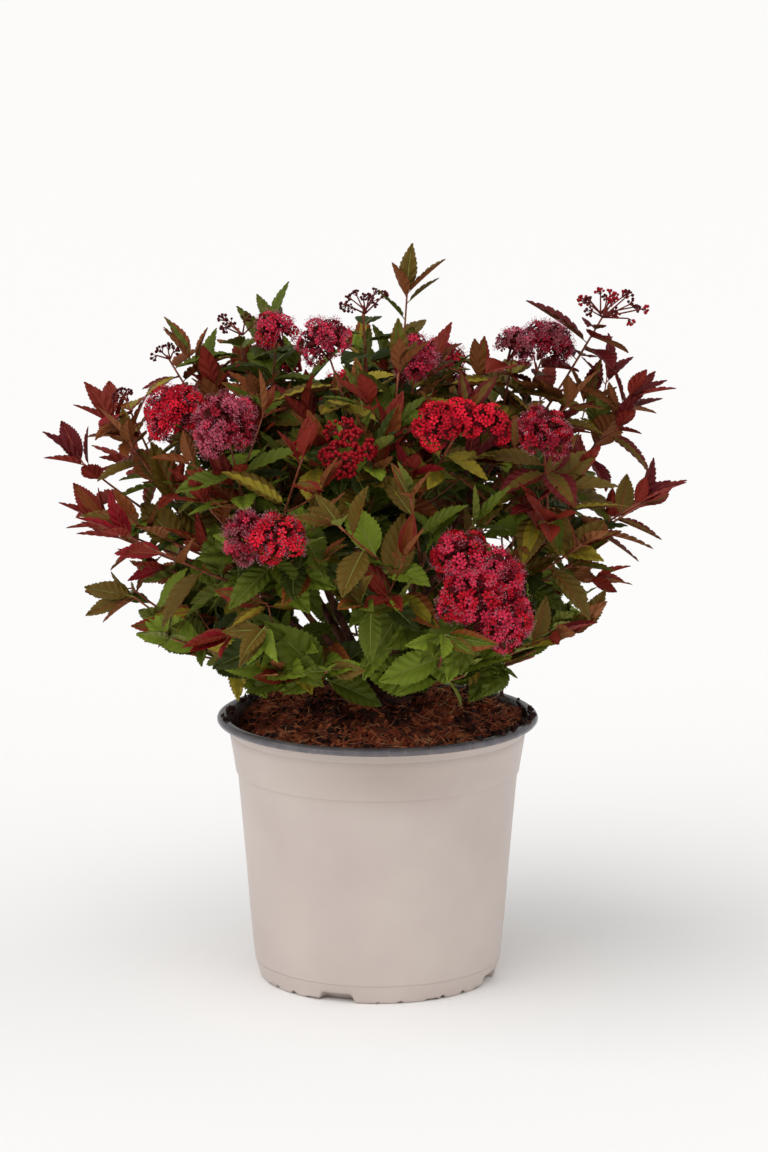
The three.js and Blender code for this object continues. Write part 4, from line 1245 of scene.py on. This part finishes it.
def umbelsOn(lobe, rule):
    # the middle, way out and radius of each umbel of a lobe
    small = min(rule["radius"], 1.2 + 0.42 * lobe.radius)
    inner = lobe.radius - small
    area = 2 * pi * inner ** 2 * (1 - umbel["lowest"])
    count = max(umbel["fewest"], int(area / (rule["spacing"] * small) ** 2))
    sideways, upwards = rule["spread"]
    for way in spiralOn(lobe.facing, umbel["lowest"], count):
        way = unit(way + headDraw.normal(0, umbel["jitter"], 3))
        flat = way - lobe.facing * (way @ lobe.facing) * (1 - umbel["squash"])
        flat = flat * np.array([sideways, sideways, upwards])
        middle = lobe.place + flat * inner * headDraw.uniform(0.84, 1.1)
        yield middle, way, small * headDraw.uniform(0.85, 1.1)


def growUmbel(middle, axis, radius, spacing):
    # the place of each floret or bud of an umbel, its way out, and how near the umbel's edge it is
    lowest = cos(radians(umbel["spread"]))
    count = max(umbel["fewest"], int(2 * pi * radius ** 2 * (1 - lowest) / (spacing ** 2 * 0.87)))
    for k, way in enumerate(spiralOn(axis, lowest, count)):
        way = unit(way + headDraw.normal(0, umbel["floretJitter"], 3))
        place = middle + way * radius * headDraw.uniform(0.86, 1.06)
        pedicels.append((middle - axis * radius * 0.5, place - way * 0.6))
        yield place, way, (k + 0.5) / count


def addFloret(head, tints, mainTint, place, way, edge):
    isMain = headDraw.random() < umbel["mainTintShare"]
    tint = mainTint if isMain else tints[int(headDraw.random() * len(tints))]
    # painted shade: florets near an umbel's edge take a dark red tint
    if edge > umbel["shaded"] and headDraw.random() < umbel["shadedShare"]:
        tint = "shadedRed"
    row = (place, way, umbels["floret"]["across"] * headDraw.uniform(0.85, 1.12))
    florets[tint].append(row)
    middles.append(row)
    if headDraw.random() < stamen["shares"][head.stage]:
        openFlorets.append(row)


def growLobe(head, lobe, tints):
    kind = "floret" if head.stage != "bud" else ("darkBud" if tints[0] == "darkBud" else "bud")
    rule = umbels[kind]
    for middle, axis, radius in umbelsOn(lobe, rule):
        pick = headDraw.random() ** (1.3 if kind == "floret" else 1)
        mainTint = tints[int(pick * len(tints))]
        stalks.append((lobe.place - lobe.facing * lobe.radius * 0.75, middle - axis * radius * 0.5))
        for place, way, edge in growUmbel(middle, axis, radius, rule["apart"]):
            if kind == "floret":
                addFloret(head, tints, mainTint, place, way, edge)
            else:
                buds[mainTint].append((place, way, rule["across"] * headDraw.uniform(0.75, 1.15)))
    # painted shade: dark balls round each floret lobe's middle darken the gaps between its umbels
    if kind == "floret":
        for way in spiralOn(lobe.facing, umbel["lowest"], umbel["coreBuds"]):
            place = lobe.place + way * lobe.radius * umbel["core"]
            buds["darkBud"].append((place, way, lobe.radius * umbel["coreBudSize"]))


for head in heads:
    for number, lobe in enumerate(head.lobeList + bridgesOf(head.lobeList)):
        growLobe(head, lobe, head.petals[number % len(head.petals)])


def placed(rows, template):
    # a template's copies, each facing its own way
    places, ways, sizes = (np.array([row[k] for row in rows]) for k in range(3))
    side, over = squareTo(ways)
    turn = headDraw.uniform(0, 2 * pi, len(rows))[:, None]
    first = side * np.cos(turn) + over * np.sin(turn)
    second = over * np.cos(turn) - side * np.sin(turn)
    points, faces = template
    axes = np.stack([first, second, ways], 1)
    return repeatPart(places[:, None] + np.einsum("vk,nkj->nvj", points, axes) * sizes[:, None, None], faces)


def addFlowerPiece(name, part, skinName, colour, roughness, smooth=True):
    addPiece(name, part, grownSkin(skinName, "petal", colour, roughness), foliageNodes, "leaf_bronze", smooth)


for tint, rows in florets.items():
    petals = placed(rows, floretTemplate())
    addFlowerPiece("petals_" + tint, petals, "Petal" + capital(tint), petalTints[tint], 0.6, False)
for tint, rows in buds.items():
    addFlowerPiece("buds_" + tint, placed(rows, ballTemplate()), capital(tint), budTints[tint], 0.42)
cup = np.array([direction(72 * k, 0) * 0.08 + up * 0.03 for k in range(5)] + [up * 0.06])
cupFaces = np.array([(k, (k + 1) % 5, 5) for k in range(5)])
addFlowerPiece("floret_middles", placed(middles, (cup, cupFaces)), "FloretDisc", "#5c0e1a", 0.7, False)

filaments = []
for place, way, size in openFlorets:
    side, over = squareTo(way)
    for k in range(stamen["count"]):
        turn = 2 * pi * (k + headDraw.random()) / stamen["count"]
        lean = side * cos(turn) + over * sin(turn)
        start = place + lean * 0.5
        out = unit(way + lean * headDraw.uniform(0.1, 0.7))
        filaments.append((start, start + out * stamen["length"] * headDraw.uniform(0.7, 1.1)))
addFlowerPiece("filaments", prisms(filaments, *stamen["radii"]), "Filament", "#b85a6c", 0.6)
grain = np.array([(1, 1, 1), (1, -1, -1), (-1, 1, -1), (-1, -1, 1)]) * stamen["antherSize"]
grainFaces = np.array([(0, 1, 2), (0, 3, 1), (0, 2, 3), (1, 3, 2)])
antherRows = [(end, unit(end - start), 1.0) for start, end in filaments]
addFlowerPiece("anthers", placed(antherRows, (grain, grainFaces)), "Anther", "#bc7c88", 0.7, False)
stalkParts = [prisms(pedicels, *umbel["pedicelRadii"]), prisms(stalks, *umbel["stalkRadii"])]
addFlowerPiece("pedicels", joinParts(stalkParts), "Pedicel", "#6e2a22", 0.6)
print("flower heads made:", len(middles), "florets,", sum(map(len, buds.values())), "buds,", len(filaments),
      "stamens")

# Floor and light: a pale seamless floor and wide soft lamps

floorReach = 40
floorMesh = bpy.data.meshes.new("floor")
floorCorners = [(x * floorReach, y * floorReach, 0) for x, y in ((-1, -1), (1, -1), (1, 1), (-1, 1))]
floorMesh.from_pydata(floorCorners, [], [(0, 1, 2, 3)])
floorMesh.materials.append(finished(newMaterial("paintedStudioFloor")[0],
                                    {"Roughness": 0.9, "Base Color": linear("#fcfbfa")}))
floor = addObject("floor", floorMesh)

lamps = [  # name, turn and rise of the light, its softness in degrees and its strength
    ("key", 222, 52, 70, 1.6),
    ("fill", 334, 40, 90, 0.6),
]
for name, turn, rise, softness, strength in lamps:
    lamp = bpy.data.lights.new(name, "SUN")
    lamp.angle = radians(softness)
    lamp.energy = strength
    toLamp = Vector(-direction(turn, rise))
    addObject(name, lamp).rotation_euler = toLamp.to_track_quat("-Z", "Y").to_euler()
world = bpy.data.worlds.new("studio")
world.use_nodes = True
background = world.node_tree.nodes["Background"]
background.inputs["Color"].default_value = linear("#ffffff")
background.inputs["Strength"].default_value = 0.5
bpy.context.scene.world = world
bpy.context.scene.view_settings.view_transform = "Standard"
print("stage made;", sum(counts.values()), "triangles:", counts)
